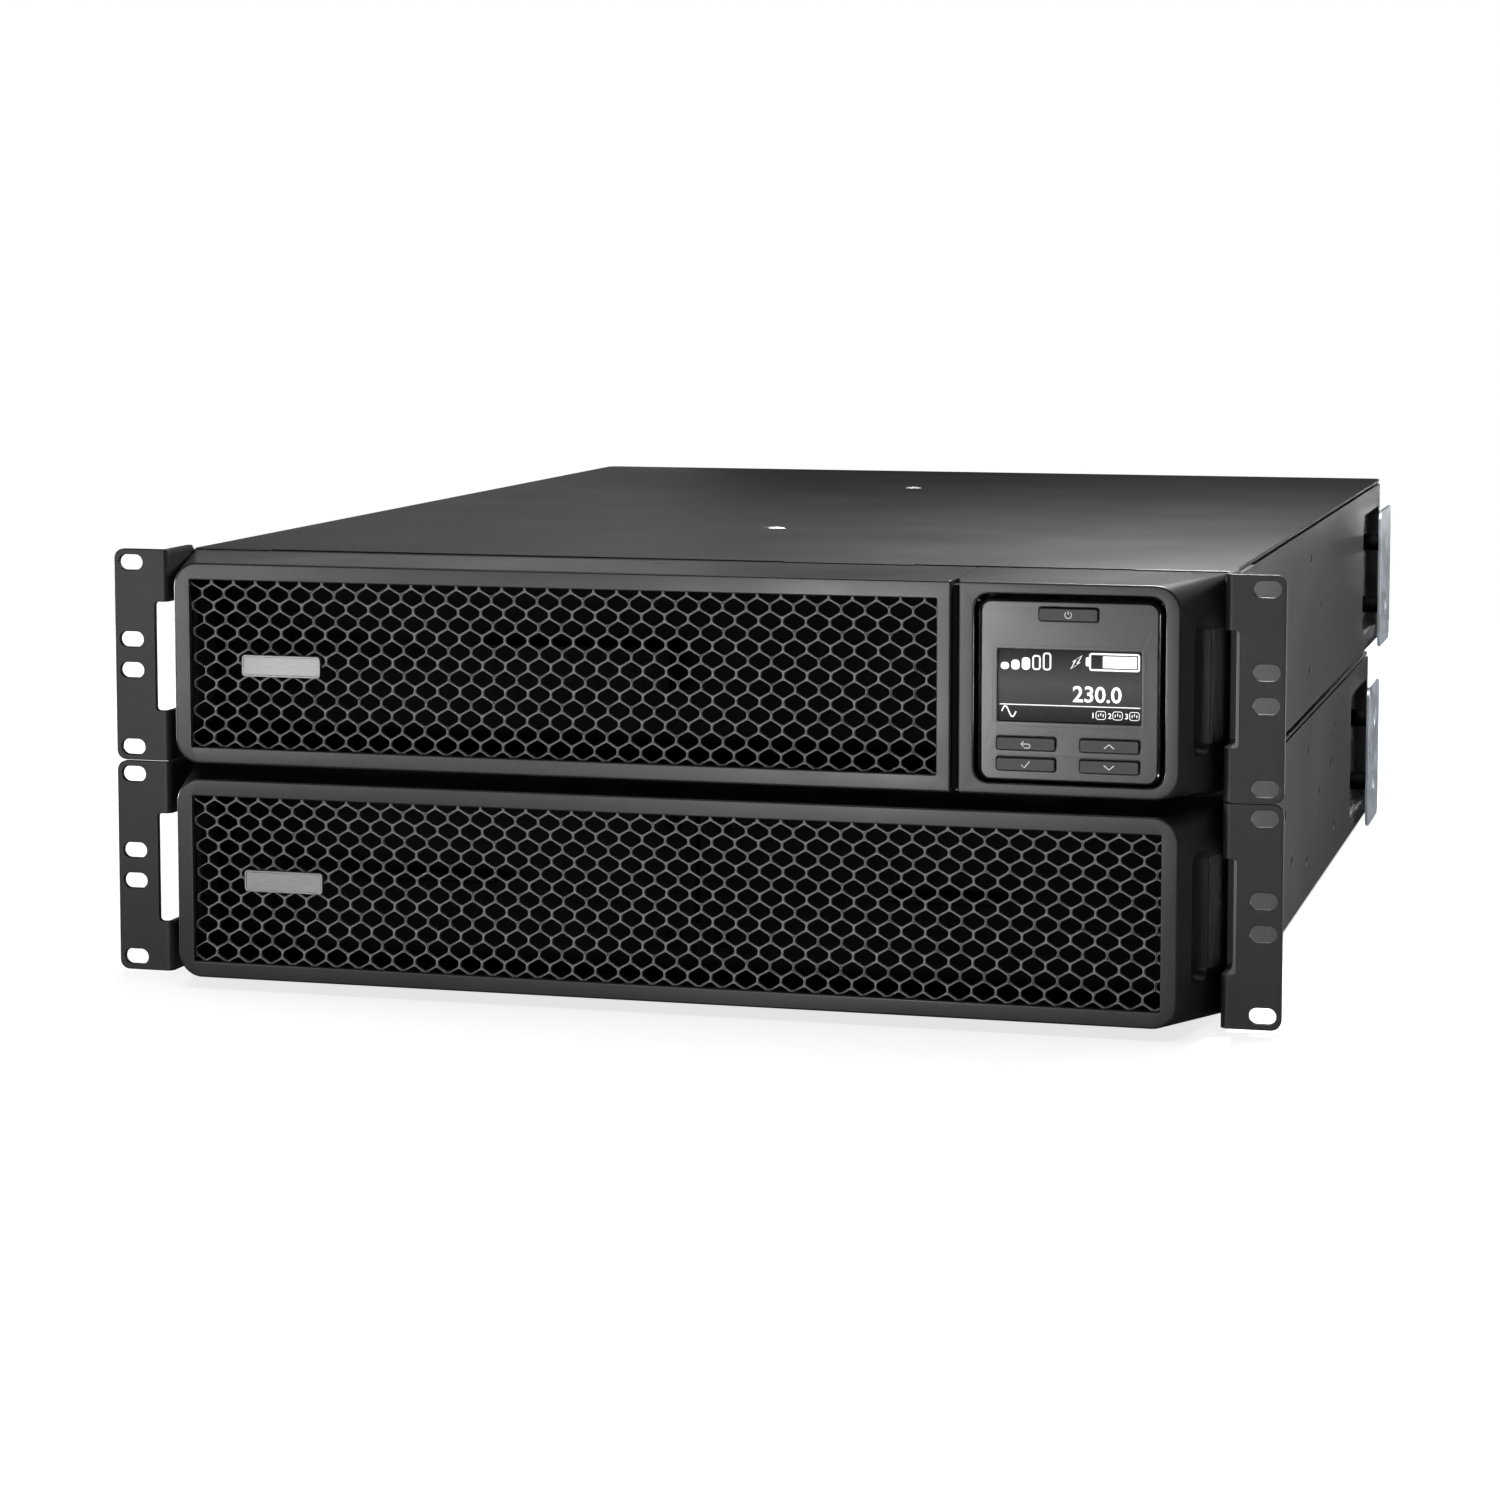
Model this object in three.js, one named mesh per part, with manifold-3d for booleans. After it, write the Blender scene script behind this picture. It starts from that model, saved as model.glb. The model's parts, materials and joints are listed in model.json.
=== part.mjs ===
// A 2U rack-mount uninterruptible power supply resting on its 2U extended battery pack.
// Millimetres. +X is to the right of someone facing the front, +Y runs to the rear, +Z is up.
// Each unit is built in its own frame: x = 0 on the centre line, y = 0 on the front plane of the
// rack ears, z = 0 on the undersides of the feet. The last lines centre the object on its box.
import * as THREE from "three";
import { mergeVertices } from "three/addons/utils/BufferGeometryUtils.js";
import Module from "manifold-3d";

const wasm = await Module();
wasm.setup();

// ---------- driving dimensions ----------

const CLEAR = 0.3; // running gap left between neighbouring pieces
const UNIT_PITCH = 87.5; // from one unit's feet to the feet of the unit above
const FOOT_HEIGHT = 1.6;
const FOOT_RADIUS = 10;
const COVER_TOP = 87.1;
const COVER_SHEET = 1.6;
const SHEET = 1.5; // chassis steel
const HALF_WIDTH = 216; // outer half width of the chassis
const UPS_REAR = 611.6;
const PACK_REAR = 562;

const BEZEL_FACE = -23.4;
const BEZEL_BACK = 27;
const BEZEL_WALL = 2.5;
const BEZEL_FRONT = { half: 203.2, low: 4.5, high: 85.5, radius: 10 };
const BEZEL_REAR = { half: 215.5, low: 2.2, high: 86.9, radius: 0.6 };
const GRILLE_LOW = 10.95;
const GRILLE_HIGH = 78.65;
const GRILLE_LEFT = -196.7;
const UPS_GRILLE_RIGHT = 109.9;
const GRILLE_OVERLAP = 1.2;
const GRILLE_SAG = 4.5; // how much deeper the middle of the curved grille lies than its edges
const GRILLE_SHEET = 1.6;
const SPLIT_LEFT = 115.5; // the groove between the battery bezel and the display bezel
const SPLIT_RIGHT = 118.4;
const SPLIT_DEPTH = 8;

const EAR_TIP = 239.8;
const EAR_SHEET = 2.5;
const EAR_LOW = 1.3;
const EAR_HEIGHT = 87.1;
const EAR_FLANGE = 72; // how far the ear reaches back along the chassis
const EAR_BEND = 3;
const SLOT_X = 232.55;
const SLOT_LENGTH = 10.5;
const SLOT_WIDTH = 6.4;
const SLOT_HEIGHTS = [5.45, 37.2, 49.9, 81.65]; // above the ear's lower end
const WINDOW_LOW = 20.7;
const WINDOW_HIGH = 65.6;
const WINDOW_EDGE = 222.2;
const WINDOW_BACK = 17.5;

const DISPLAY_X = 161;
const DISPLAY_OPENING = { half: 36.9, low: 8.7, high: 81.3, radius: 6 };
const HOUSING = { half: 35, low: 9.8, high: 79.4, radius: 5 };
const FACEPLATE = { half: 33.7, low: 10.5, high: 78.4, radius: 4 };
const HOUSING_FRONT = -22.6;
const HOUSING_BACK = -8;
const FACEPLATE_FRONT = -22.9;
const FACEPLATE_BACK = -21.3;
const LCD_WINDOW = { half: 29.1, low: 31.2, high: 61.9 };
const HINGE_Y = -19;
const HINGE_Z = 78.2;
const BUTTON_WIDTH = 22.4;
const BUTTON_HEIGHT = 5.3;
const BUTTON_TRAVEL = 0.8;
const KEY_OFFSET = 16;

// ---------- colours ----------

const paint = (color, roughness, metalness) =>
  new THREE.MeshStandardMaterial({ color, roughness, metalness });
const MATERIALS = {
  blackSteel: paint(0x2b2c2e, 0.62, 0.3),
  bezelPlastic: paint(0x3a3b3d, 0.6, 0),
  grillePlastic: paint(0x4a4b4d, 0.5, 0),
  glossBlack: paint(0x060607, 0.15, 0),
  facePlastic: paint(0x55565a, 0.45, 0),
  keyRubber: paint(0x4b4c4f, 0.6, 0),
  lcd: paint(0x2c2e33, 0.2, 0),
  window: paint(0x9aa0a8, 0.05, 0),
  badge: paint(0x8d8f93, 0.35, 0.6),
  zinc: paint(0x9ba3ae, 0.4, 0.8),
  aluminium: paint(0xb4b7ba, 0.4, 0.9),
  board: paint(0x1e5a38, 0.6, 0),
  copper: paint(0x7a4a2a, 0.5, 0.5),
  socketBlack: paint(0x141415, 0.5, 0),
  connectorGrey: paint(0x6e7074, 0.5, 0),
  batteryBlack: paint(0x1c1c1e, 0.65, 0),
  fanBlack: paint(0x18181a, 0.55, 0),
  keyWhite: paint(0xd6d6d2, 0.5, 0),
};

// ---------- solids ----------

const X_AXIS = new THREE.Vector3(1, 0, 0);
const Y_AXIS = new THREE.Vector3(0, 1, 0);
const Z_AXIS = new THREE.Vector3(0, 0, 1);
const AWAY_FROM_Y = new THREE.Vector3(0, -1, 0);
const MERGE_DISTANCE = 1e-4;

function solidOf(geometry) {
  const bare = geometry.clone();
  bare.deleteAttribute("normal");
  bare.deleteAttribute("uv");
  const merged = mergeVertices(bare, MERGE_DISTANCE);
  const vertProperties = merged.attributes.position.array;
  const triVerts = new Uint32Array(merged.index.array);
  return new wasm.Manifold(new wasm.Mesh({ numProp: 3, vertProperties, triVerts }));
}

function geometryOf(solid) {
  const shape = solid.getMesh();
  const geometry = new THREE.BufferGeometry();
  geometry.setAttribute("position", new THREE.BufferAttribute(shape.vertProperties, 3));
  geometry.setIndex(new THREE.BufferAttribute(shape.triVerts, 1));
  geometry.computeVertexNormals();
  return geometry;
}

const join = (...solids) => solids.reduce((whole, piece) => whole.add(piece));
const cut = (solid, ...tools) => tools.reduce((rest, tool) => rest.subtract(tool), solid);

function block(x0, x1, y0, y1, z0, z1) {
  const geometry = new THREE.BoxGeometry(x1 - x0, y1 - y0, z1 - z0);
  return solidOf(geometry.translate((x0 + x1) / 2, (y0 + y1) / 2, (z0 + z1) / 2));
}

// An anticlockwise rectangle whose four corners are arcs.
function roundedOutline(x0, x1, y0, y1, radius, steps = 3) {
  const centres = [
    [x1 - radius, y1 - radius],
    [x0 + radius, y1 - radius],
    [x0 + radius, y0 + radius],
    [x1 - radius, y0 + radius],
  ];
  const points = [];
  centres.forEach(([cx, cy], quarter) => {
    for (let step = 0; step <= steps; step += 1) {
      const angle = ((quarter + step / steps) * Math.PI) / 2;
      points.push(new THREE.Vector2(cx + radius * Math.cos(angle), cy + radius * Math.sin(angle)));
    }
  });
  return points.filter((p, i) => p.distanceTo(points[(i + 1) % points.length]) > MERGE_DISTANCE);
}

function extrude(points, depth) {
  const shape = new THREE.Shape(points);
  return new THREE.ExtrudeGeometry(shape, { depth, bevelEnabled: false, steps: 1 });
}

// An outline in (x, z), carried from y0 to y1.
function alongY(points, y0, y1) {
  const turn = new THREE.Matrix4().makeBasis(X_AXIS, Z_AXIS, AWAY_FROM_Y);
  return extrude(points, y1 - y0).applyMatrix4(turn).translate(0, y1, 0);
}

// An outline in (y, z), carried from x0 to x1.
function alongX(points, x0, x1) {
  const turn = new THREE.Matrix4().makeBasis(Y_AXIS, Z_AXIS, X_AXIS);
  return extrude(points, x1 - x0).applyMatrix4(turn).translate(x0, 0, 0);
}

// An outline in (x, y), carried from z0 to z1.
function alongZ(points, z0, z1) {
  return extrude(points, z1 - z0).translate(0, 0, z0);
}

const facePlate = (x0, x1, z0, z1, radius, y0, y1, steps) =>
  solidOf(alongY(roundedOutline(x0, x1, z0, z1, radius, steps), y0, y1));
const panel = (spec, y0, y1, grow = 0, centre = DISPLAY_X) =>
  facePlate(
    centre - spec.half - grow,
    centre + spec.half + grow,
    spec.low - grow,
    spec.high + grow,
    Math.max(spec.radius + grow, 0.4),
    y0,
    y1,
  );

function rod(axis, x, y, z, radius, length, sides = 16) {
  const geometry = new THREE.CylinderGeometry(radius, radius, length, sides);
  if (axis === "x") geometry.rotateZ(-Math.PI / 2);
  if (axis === "z") geometry.rotateX(Math.PI / 2);
  return solidOf(geometry.translate(x, y, z));
}
const rodX = (x0, x1, y, z, radius, sides) => rod("x", (x0 + x1) / 2, y, z, radius, x1 - x0, sides);
const rodY = (x, y0, y1, z, radius, sides) => rod("y", x, (y0 + y1) / 2, z, radius, y1 - y0, sides);
const rodZ = (x, y, z0, z1, radius, sides) => rod("z", x, y, (z0 + z1) / 2, radius, z1 - z0, sides);

function piece(name, solid, material) {
  const mesh = new THREE.Mesh(geometryOf(solid), MATERIALS[material]);
  mesh.name = name;
  return mesh;
}

// Mirrors a solid that was built on the +X side when the side is -1.
const onSide = (solid, side) => (side > 0 ? solid : solid.mirror([1, 0, 0]));
const sideName = (side) => (side > 0 ? "right" : "left");

// ---------- sheet-metal case ----------

// Holes for the slide rails in each side wall, as (y, z).
const RAIL_HOLES = [
  [291, 69.9],
  [337, 44.4],
  [291, 18.9],
];
const PACK_EXTRA_HOLES = [
  [402.4, 66.8],
  [402.4, 18.5],
  [386.5, 51.5],
  [206.4, 52.3],
  [232.3, 28],
];
const RAIL_HOLE_RADIUS = 2.4;
const FOOT_X = 180;
const FOOT_INSET = 50;
const FRONT_LIP = 6;
const CHASSIS_FRONT = BEZEL_BACK + CLEAR;
const SIDE_TOP = COVER_TOP - COVER_SHEET - CLEAR;
const FLOOR_TOP = FOOT_HEIGHT + SHEET;

// The pocket pressed into each side wall for the rear bracket.
const POCKET_LENGTH = 82.5; // from its front edge to the chassis's rear
const POCKET_REAR_INSET = 3;
const POCKET_LOW = 10;
const POCKET_HIGH = 72.8;
const POCKET_DEPTH = 5;

function pocketBlock(rear, grow, x0, x1) {
  const front = rear - POCKET_LENGTH - grow;
  const back = rear - POCKET_REAR_INSET + grow;
  const outline = roundedOutline(front, back, POCKET_LOW - grow, POCKET_HIGH + grow, 6 + grow);
  return solidOf(alongX(outline, x0, x1));
}

function chassis(rear, holes) {
  const back = rear - SHEET - CLEAR;
  const floor = block(-HALF_WIDTH, HALF_WIDTH, CHASSIS_FRONT, back, FOOT_HEIGHT, FLOOR_TOP);
  const sides = [-1, 1].map((side) => {
    const wall = block(HALF_WIDTH - SHEET, HALF_WIDTH, CHASSIS_FRONT, back, FOOT_HEIGHT, SIDE_TOP);
    const lipLeft = HALF_WIDTH - SHEET - FRONT_LIP;
    const lipBack = CHASSIS_FRONT + SHEET;
    const lip = block(lipLeft, HALF_WIDTH - SHEET, CHASSIS_FRONT, lipBack, FOOT_HEIGHT, SIDE_TOP);
    const drills = holes.map(([y, z]) => rodX(HALF_WIDTH - 4, HALF_WIDTH + 4, y, z, RAIL_HOLE_RADIUS, 10));
    const floorX = HALF_WIDTH - POCKET_DEPTH;
    const dish = pocketBlock(back, SHEET, floorX - SHEET, HALF_WIDTH - 0.2);
    const hollow = pocketBlock(back, 0, floorX, HALF_WIDTH + 1);
    return onSide(cut(join(wall, lip, dish), hollow, ...drills), side);
  });
  const feet = [-FOOT_X, FOOT_X].flatMap((x) =>
    [CHASSIS_FRONT + FOOT_INSET, back - FOOT_INSET].map((y) => rodZ(x, y, 0, FLOOR_TOP, FOOT_RADIUS, 20)),
  );
  return join(floor, ...sides, ...feet);
}

const LIP_DROP = 10;
const LIP_SHEET = 1.2;
const LIP_FRONT = 31;
const LIP_REAR_INSET = 6;

// A flat sheet with a lip folded down inside each side wall.
function topCover(rear) {
  const underside = COVER_TOP - COVER_SHEET;
  const plate = block(-HALF_WIDTH, HALF_WIDTH, CHASSIS_FRONT, rear, underside, COVER_TOP);
  const outer = HALF_WIDTH - SHEET - CLEAR;
  const lipBack = rear - LIP_REAR_INSET;
  const lips = [-1, 1].map((side) =>
    onSide(block(outer - LIP_SHEET, outer, LIP_FRONT, lipBack, underside - LIP_DROP, underside), side),
  );
  return join(plate, ...lips);
}

const REAR_FOLD_HALF = 200;
const REAR_FOLD_DEPTH = 9;

// The rear wall, with a flange folded forward at its foot and one opening per fitting.
function rearPanel(rear, openings) {
  const wall = block(-HALF_WIDTH, HALF_WIDTH, rear - SHEET, rear, FOOT_HEIGHT, SIDE_TOP);
  const foldBottom = FLOOR_TOP + CLEAR;
  const foldFront = rear - REAR_FOLD_DEPTH;
  const fold = block(-REAR_FOLD_HALF, REAR_FOLD_HALF, foldFront, rear - SHEET, foldBottom, foldBottom + SHEET);
  return cut(join(wall, fold), ...openings);
}

// ---------- rack ears and rear brackets ----------

function ear(side) {
  const inner = HALF_WIDTH + CLEAR;
  const bend = inner + EAR_BEND;
  const outline = [new THREE.Vector2(EAR_TIP, 0), new THREE.Vector2(EAR_TIP, EAR_SHEET)];
  const innerRadius = EAR_BEND - EAR_SHEET;
  const corner = [0, 0.5, 1].map((t) => (t * Math.PI) / 2);
  corner.forEach((a) =>
    outline.push(new THREE.Vector2(bend - innerRadius * Math.sin(a), EAR_BEND - innerRadius * Math.cos(a))),
  );
  outline.push(new THREE.Vector2(inner + EAR_SHEET, EAR_FLANGE), new THREE.Vector2(inner, EAR_FLANGE));
  const outside = [1, 0.75, 0.5, 0.25, 0].map((t) => (t * Math.PI) / 2);
  outside.forEach((a) =>
    outline.push(new THREE.Vector2(bend - EAR_BEND * Math.sin(a), EAR_BEND - EAR_BEND * Math.cos(a))),
  );
  const top = EAR_LOW + EAR_HEIGHT;
  const bent = solidOf(alongZ(outline, EAR_LOW, top));
  const trimmed = bent.intersect(facePlate(200, EAR_TIP, EAR_LOW, top, 4, -1, EAR_FLANGE + 1));
  const slots = SLOT_HEIGHTS.map((height) =>
    facePlate(
      SLOT_X - SLOT_LENGTH / 2,
      SLOT_X + SLOT_LENGTH / 2,
      EAR_LOW + height - SLOT_WIDTH / 2,
      EAR_LOW + height + SLOT_WIDTH / 2,
      SLOT_WIDTH / 2,
      -1,
      EAR_SHEET + 1,
    ),
  );
  const low = EAR_LOW + WINDOW_LOW;
  const high = EAR_LOW + WINDOW_HIGH;
  const handWindow = facePlate(205, WINDOW_EDGE, low, high, 1.5, -1, WINDOW_BACK, 3);
  return onSide(cut(trimmed, handWindow, ...slots), side);
}

const BRACKET_INNER = 221;
const BRACKET_SHEET = 1.5;
const BRACKET_INSET = 5.5; // from the bracket's rear edge to the chassis's
const BRACKET_LENGTH = 51;
const BRACKET_LOW = 2.2;
const BRACKET_HIGH = 73.6;
const BRACKET_SCREWS = [22.3, 55.3];

// A stand-off plate at the back corner that a rear rack rail slides onto. Its two dished
// screw seats reach the floor of the pocket in the chassis side.
function rearBracket(rear, side) {
  const back = rear - BRACKET_INSET;
  const front = back - BRACKET_LENGTH;
  const outline = roundedOutline(front, back, BRACKET_LOW, BRACKET_HIGH, 5);
  const plate = solidOf(alongX(outline, BRACKET_INNER, BRACKET_INNER + BRACKET_SHEET));
  const seatEnd = HALF_WIDTH - POCKET_DEPTH + CLEAR;
  const middle = (front + back) / 2;
  const seats = BRACKET_SCREWS.map((z) => rodX(seatEnd, BRACKET_INNER + 0.5, middle, z, 6, 12));
  return onSide(join(plate, ...seats), side);
}

// ---------- bezels ----------

// A block whose rounded front outline spreads to a squarer one at its back.
function taperedBlock(front, back, y0, y1) {
  const outline = roundedOutline(-front.half, front.half, front.low, front.high, front.radius, 6);
  const geometry = alongY(outline, y0, y1);
  const position = geometry.attributes.position;
  const middle = (front.low + front.high) / 2;
  for (let i = 0; i < position.count; i += 1) {
    if (position.getY(i) < (y0 + y1) / 2) continue;
    const x = position.getX(i);
    const z = position.getZ(i);
    const side = Math.sign(x);
    const upper = z > middle;
    const arcX = (x - side * (front.half - front.radius)) / front.radius;
    const arcCentre = upper ? front.high - front.radius : front.low + front.radius;
    const arcZ = (z - arcCentre) / front.radius;
    position.setX(i, side * (back.half - back.radius) + back.radius * arcX);
    position.setZ(i, (upper ? back.high - back.radius : back.low + back.radius) + back.radius * arcZ);
  }
  return solidOf(geometry);
}

const shrunk = (spec, by) => ({
  half: spec.half - by,
  low: spec.low + by,
  high: spec.high - by,
  radius: Math.max(spec.radius - by, 0.3),
});

const bezelOuter = () => taperedBlock(BEZEL_FRONT, BEZEL_REAR, BEZEL_FACE, BEZEL_BACK);
const bezelInner = () =>
  taperedBlock(
    shrunk(BEZEL_FRONT, BEZEL_WALL),
    shrunk(BEZEL_REAR, BEZEL_WALL),
    BEZEL_FACE + BEZEL_WALL,
    BEZEL_BACK + BEZEL_WALL,
  );
const between = (x0, x1, y0 = -50, y1 = 50) => block(x0, x1, y0, y1, -5, 95);

const GRIP = { front: -10, back: 6, low: 18.1, high: 70.8, floor: 200.5 };
const GRIP_WALL = 2;

// The pocket for the fingers in a bezel's outer end, and the wall around it.
function gripCup(side) {
  const outline = roundedOutline(
    GRIP.front - GRIP_WALL,
    GRIP.back + GRIP_WALL,
    GRIP.low - GRIP_WALL,
    GRIP.high + GRIP_WALL,
    7,
  );
  const cup = solidOf(alongX(outline, GRIP.floor - GRIP_WALL, HALF_WIDTH));
  return onSide(cup, side).intersect(bezelOuter());
}

function gripPocket(side) {
  const outline = roundedOutline(GRIP.front, GRIP.back, GRIP.low, GRIP.high, 6);
  return onSide(solidOf(alongX(outline, GRIP.floor, HALF_WIDTH + 5)), side);
}

const grilleOpening = (x0, x1) =>
  block(x0, x1, BEZEL_FACE - 1, BEZEL_FACE + BEZEL_WALL + 1, GRILLE_LOW, GRILLE_HIGH);

function packBezel() {
  const shell = cut(bezelOuter(), bezelInner());
  const cups = [-1, 1].map(gripCup);
  const pockets = [-1, 1].map(gripPocket);
  return cut(join(shell, ...cups), ...pockets, grilleOpening(GRILLE_LEFT, -GRILLE_LEFT));
}

function batteryBezel() {
  const outside = bezelOuter().intersect(between(-300, SPLIT_LEFT));
  const hollow = bezelInner().intersect(between(-300, SPLIT_LEFT - BEZEL_WALL));
  const shell = cut(outside, hollow);
  return cut(join(shell, gripCup(-1)), gripPocket(-1), grilleOpening(GRILLE_LEFT, UPS_GRILLE_RIGHT));
}

const LUG_LOW = 74.5;
const LUG_HIGH = 81.9;
const LUG_BACK = -15.5;
const PIN_RADIUS = 1;
const PIN_ROOT = 3; // how far a hinge pin starts inside the housing's edge
const PIN_REACH = 2.6; // how far its tip stands past the opening's edge

function displayBezel() {
  const body = join(between(SPLIT_RIGHT, 300), between(SPLIT_LEFT + CLEAR, 300, BEZEL_FACE + SPLIT_DEPTH));
  const outside = bezelOuter().intersect(body);
  const hollow = bezelInner().intersect(between(SPLIT_RIGHT + BEZEL_WALL, 300));
  const opening = panel(DISPLAY_OPENING, BEZEL_FACE - 1, BEZEL_FACE + BEZEL_WALL + 0.01);
  const shell = cut(outside, hollow, opening);
  const lugFront = BEZEL_FACE + BEZEL_WALL - 0.5;
  const openingEdge = DISPLAY_OPENING.half + 0.3;
  const lugs = [
    block(DISPLAY_X - openingEdge - 3.2, DISPLAY_X - openingEdge, lugFront, LUG_BACK, LUG_LOW, LUG_HIGH),
    block(DISPLAY_X + openingEdge, DISPLAY_X + openingEdge + 4.5, lugFront, LUG_BACK, LUG_LOW, LUG_HIGH),
  ];
  const bore = rodX(SPLIT_RIGHT + BEZEL_WALL + 0.5, 201.8, HINGE_Y, HINGE_Z, PIN_RADIUS + CLEAR);
  return cut(join(shell, ...lugs, gripCup(1)), gripPocket(1), bore);
}

// The curved sheet that carries the honeycomb, without its holes.
function grille(x0, x1) {
  const low = GRILLE_LOW - GRILLE_OVERLAP;
  const high = GRILLE_HIGH + GRILLE_OVERLAP;
  const middle = (low + high) / 2;
  const edgeY = BEZEL_FACE + BEZEL_WALL + CLEAR;
  const steps = 8;
  const front = [];
  for (let i = 0; i <= steps; i += 1) {
    const z = low + ((high - low) * i) / steps;
    const across = (z - middle) / (high - middle);
    front.push(new THREE.Vector2(edgeY + GRILLE_SAG * (1 - across * across), z));
  }
  const back = front.map((p) => new THREE.Vector2(p.x + GRILLE_SHEET, p.y)).reverse();
  return solidOf(alongX([...back, ...front], x0 - GRILLE_OVERLAP, x1 + GRILLE_OVERLAP));
}

const BADGE = { left: -176.4, right: -142.8, low: 39.6, high: 48.4, radius: 1.2 };
const BADGE_FRONT = -2.4; // from the deepest line of the grille
const BADGE_BACK = -0.5;

// A blank name plate clipped to the front of the grille.
function badge() {
  const middleOfSag = BEZEL_FACE + BEZEL_WALL + CLEAR + GRILLE_SAG;
  const { left, right, low, high, radius } = BADGE;
  return facePlate(left, right, low, high, radius, middleOfSag + BADGE_FRONT, middleOfSag + BADGE_BACK, 3);
}

// ---------- tilting display module ----------

const CAVITY_INSET = 2;
const CAVITY_BACK = HOUSING_BACK - 1.6;
const BOARD_FRONT = -15;
const LATCH = { x: DISPLAY_X - 0.5, half: 3.7, low: 9.9, high: 14.4, front: -20.6, back: -16.6 };

function displayHousing() {
  const outer = panel(HOUSING, HOUSING_FRONT, HOUSING_BACK);
  const rest = panel(FACEPLATE, HOUSING_FRONT - 1, FACEPLATE_BACK + CLEAR, CLEAR);
  const cavitySpec = shrunk(HOUSING, CAVITY_INSET);
  const cavity = panel(cavitySpec, FACEPLATE_BACK, CAVITY_BACK);
  const heel = [
    new THREE.Vector2(-15, HOUSING.low - 0.01),
    new THREE.Vector2(-15, HOUSING.low - 1),
    new THREE.Vector2(HOUSING_BACK + 1, HOUSING.low - 1),
    new THREE.Vector2(HOUSING_BACK + 1, HOUSING.low + 1.3),
  ];
  const heelCut = solidOf(alongX(heel.reverse(), DISPLAY_X - 60, DISPLAY_X + 60));
  const latchGate = block(
    LATCH.x - LATCH.half - CLEAR,
    LATCH.x + LATCH.half + CLEAR,
    LATCH.front - CLEAR,
    LATCH.back + CLEAR,
    HOUSING.low - 1,
    HOUSING.low + 3,
  );
  const pinRoot = HOUSING.half - PIN_ROOT;
  const pinTip = DISPLAY_OPENING.half + PIN_REACH;
  const pins = [
    rodX(DISPLAY_X - pinTip, DISPLAY_X - pinRoot, HINGE_Y, HINGE_Z, PIN_RADIUS, 12),
    rodX(DISPLAY_X + pinRoot, DISPLAY_X + pinTip, HINGE_Y, HINGE_Z, PIN_RADIUS, 12),
  ];
  return join(cut(outer, rest, cavity, heelCut, latchGate), ...pins);
}

// Centres of the five keys in (x, z).
const KEYS = {
  power_button: [DISPLAY_X - 0.5, 73.95],
  escape_button: [DISPLAY_X - KEY_OFFSET - 0.5, 24.45],
  ok_button: [DISPLAY_X - KEY_OFFSET - 0.5, 16.5],
  up_button: [DISPLAY_X + KEY_OFFSET - 0.5, 24.45],
  down_button: [DISPLAY_X + KEY_OFFSET - 0.5, 16.5],
};
const keyPlate = ([x, z], grow, radius, y0, y1) =>
  facePlate(
    x - BUTTON_WIDTH / 2 - grow,
    x + BUTTON_WIDTH / 2 + grow,
    z - BUTTON_HEIGHT / 2 - grow,
    z + BUTTON_HEIGHT / 2 + grow,
    radius,
    y0,
    y1,
    3,
  );

function displayFaceplate() {
  const plate = panel(FACEPLATE, FACEPLATE_FRONT, FACEPLATE_BACK);
  const windowHole = block(
    DISPLAY_X - LCD_WINDOW.half,
    DISPLAY_X + LCD_WINDOW.half,
    FACEPLATE_FRONT - 1,
    FACEPLATE_BACK + 1,
    LCD_WINDOW.low,
    LCD_WINDOW.high,
  );
  const keyHoles = Object.values(KEYS).map((at) =>
    keyPlate(at, CLEAR, 1.2, FACEPLATE_FRONT - 1, FACEPLATE_BACK + 1),
  );
  return cut(plate, windowHole, ...keyHoles);
}

function lcdWindow() {
  return block(
    DISPLAY_X - LCD_WINDOW.half + CLEAR,
    DISPLAY_X + LCD_WINDOW.half - CLEAR,
    FACEPLATE_FRONT + 0.3,
    FACEPLATE_BACK,
    LCD_WINDOW.low + CLEAR,
    LCD_WINDOW.high - CLEAR,
  );
}

const LCD_PANEL = { half: 31, low: 29.4, high: 63.6, front: -20.9 };

function lcdPanel() {
  const p = LCD_PANEL;
  return block(DISPLAY_X - p.half, DISPLAY_X + p.half, p.front, BOARD_FRONT - CLEAR, p.low, p.high);
}

// A key cap with the flange that keeps it behind the faceplate and the stem that presses the switch.
function key(at) {
  const flangeFront = FACEPLATE_BACK + CLEAR;
  const cap = keyPlate(at, 0, 1, BEZEL_FACE, flangeFront);
  const flange = keyPlate(at, 0.5, 1.2, flangeFront, flangeFront + 0.9);
  const stemEnd = BOARD_FRONT - BUTTON_TRAVEL - 0.2;
  const stem = rodY(at[0], flangeFront, stemEnd, at[1], 1.5, 10);
  return join(cap, flange, stem);
}

const BOARD_SHEET = 1.6;
const KEYPAD = { half: 31.8, low: 17.5, high: 76.5 };

function keypadBoard() {
  const k = KEYPAD;
  return block(DISPLAY_X - k.half, DISPLAY_X + k.half, BOARD_FRONT, BOARD_FRONT + BOARD_SHEET, k.low, k.high);
}

const releaseButton = () =>
  block(LATCH.x - LATCH.half, LATCH.x + LATCH.half, LATCH.front, LATCH.back, LATCH.low, LATCH.high);

function displayModule() {
  const group = new THREE.Group();
  group.add(piece("display_housing", displayHousing(), "glossBlack"));
  group.add(piece("display_faceplate", displayFaceplate(), "facePlastic"));
  group.add(piece("lcd_window", lcdWindow(), "window"));
  group.add(piece("lcd_panel", lcdPanel(), "lcd"));
  group.add(piece("keypad_board", keypadBoard(), "board"));
  group.add(piece("display_release_button", releaseButton(), "glossBlack"));
  for (const [name, at] of Object.entries(KEYS)) group.add(piece(name, key(at), "keyRubber"));
  return group;
}

// ---------- batteries ----------

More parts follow.
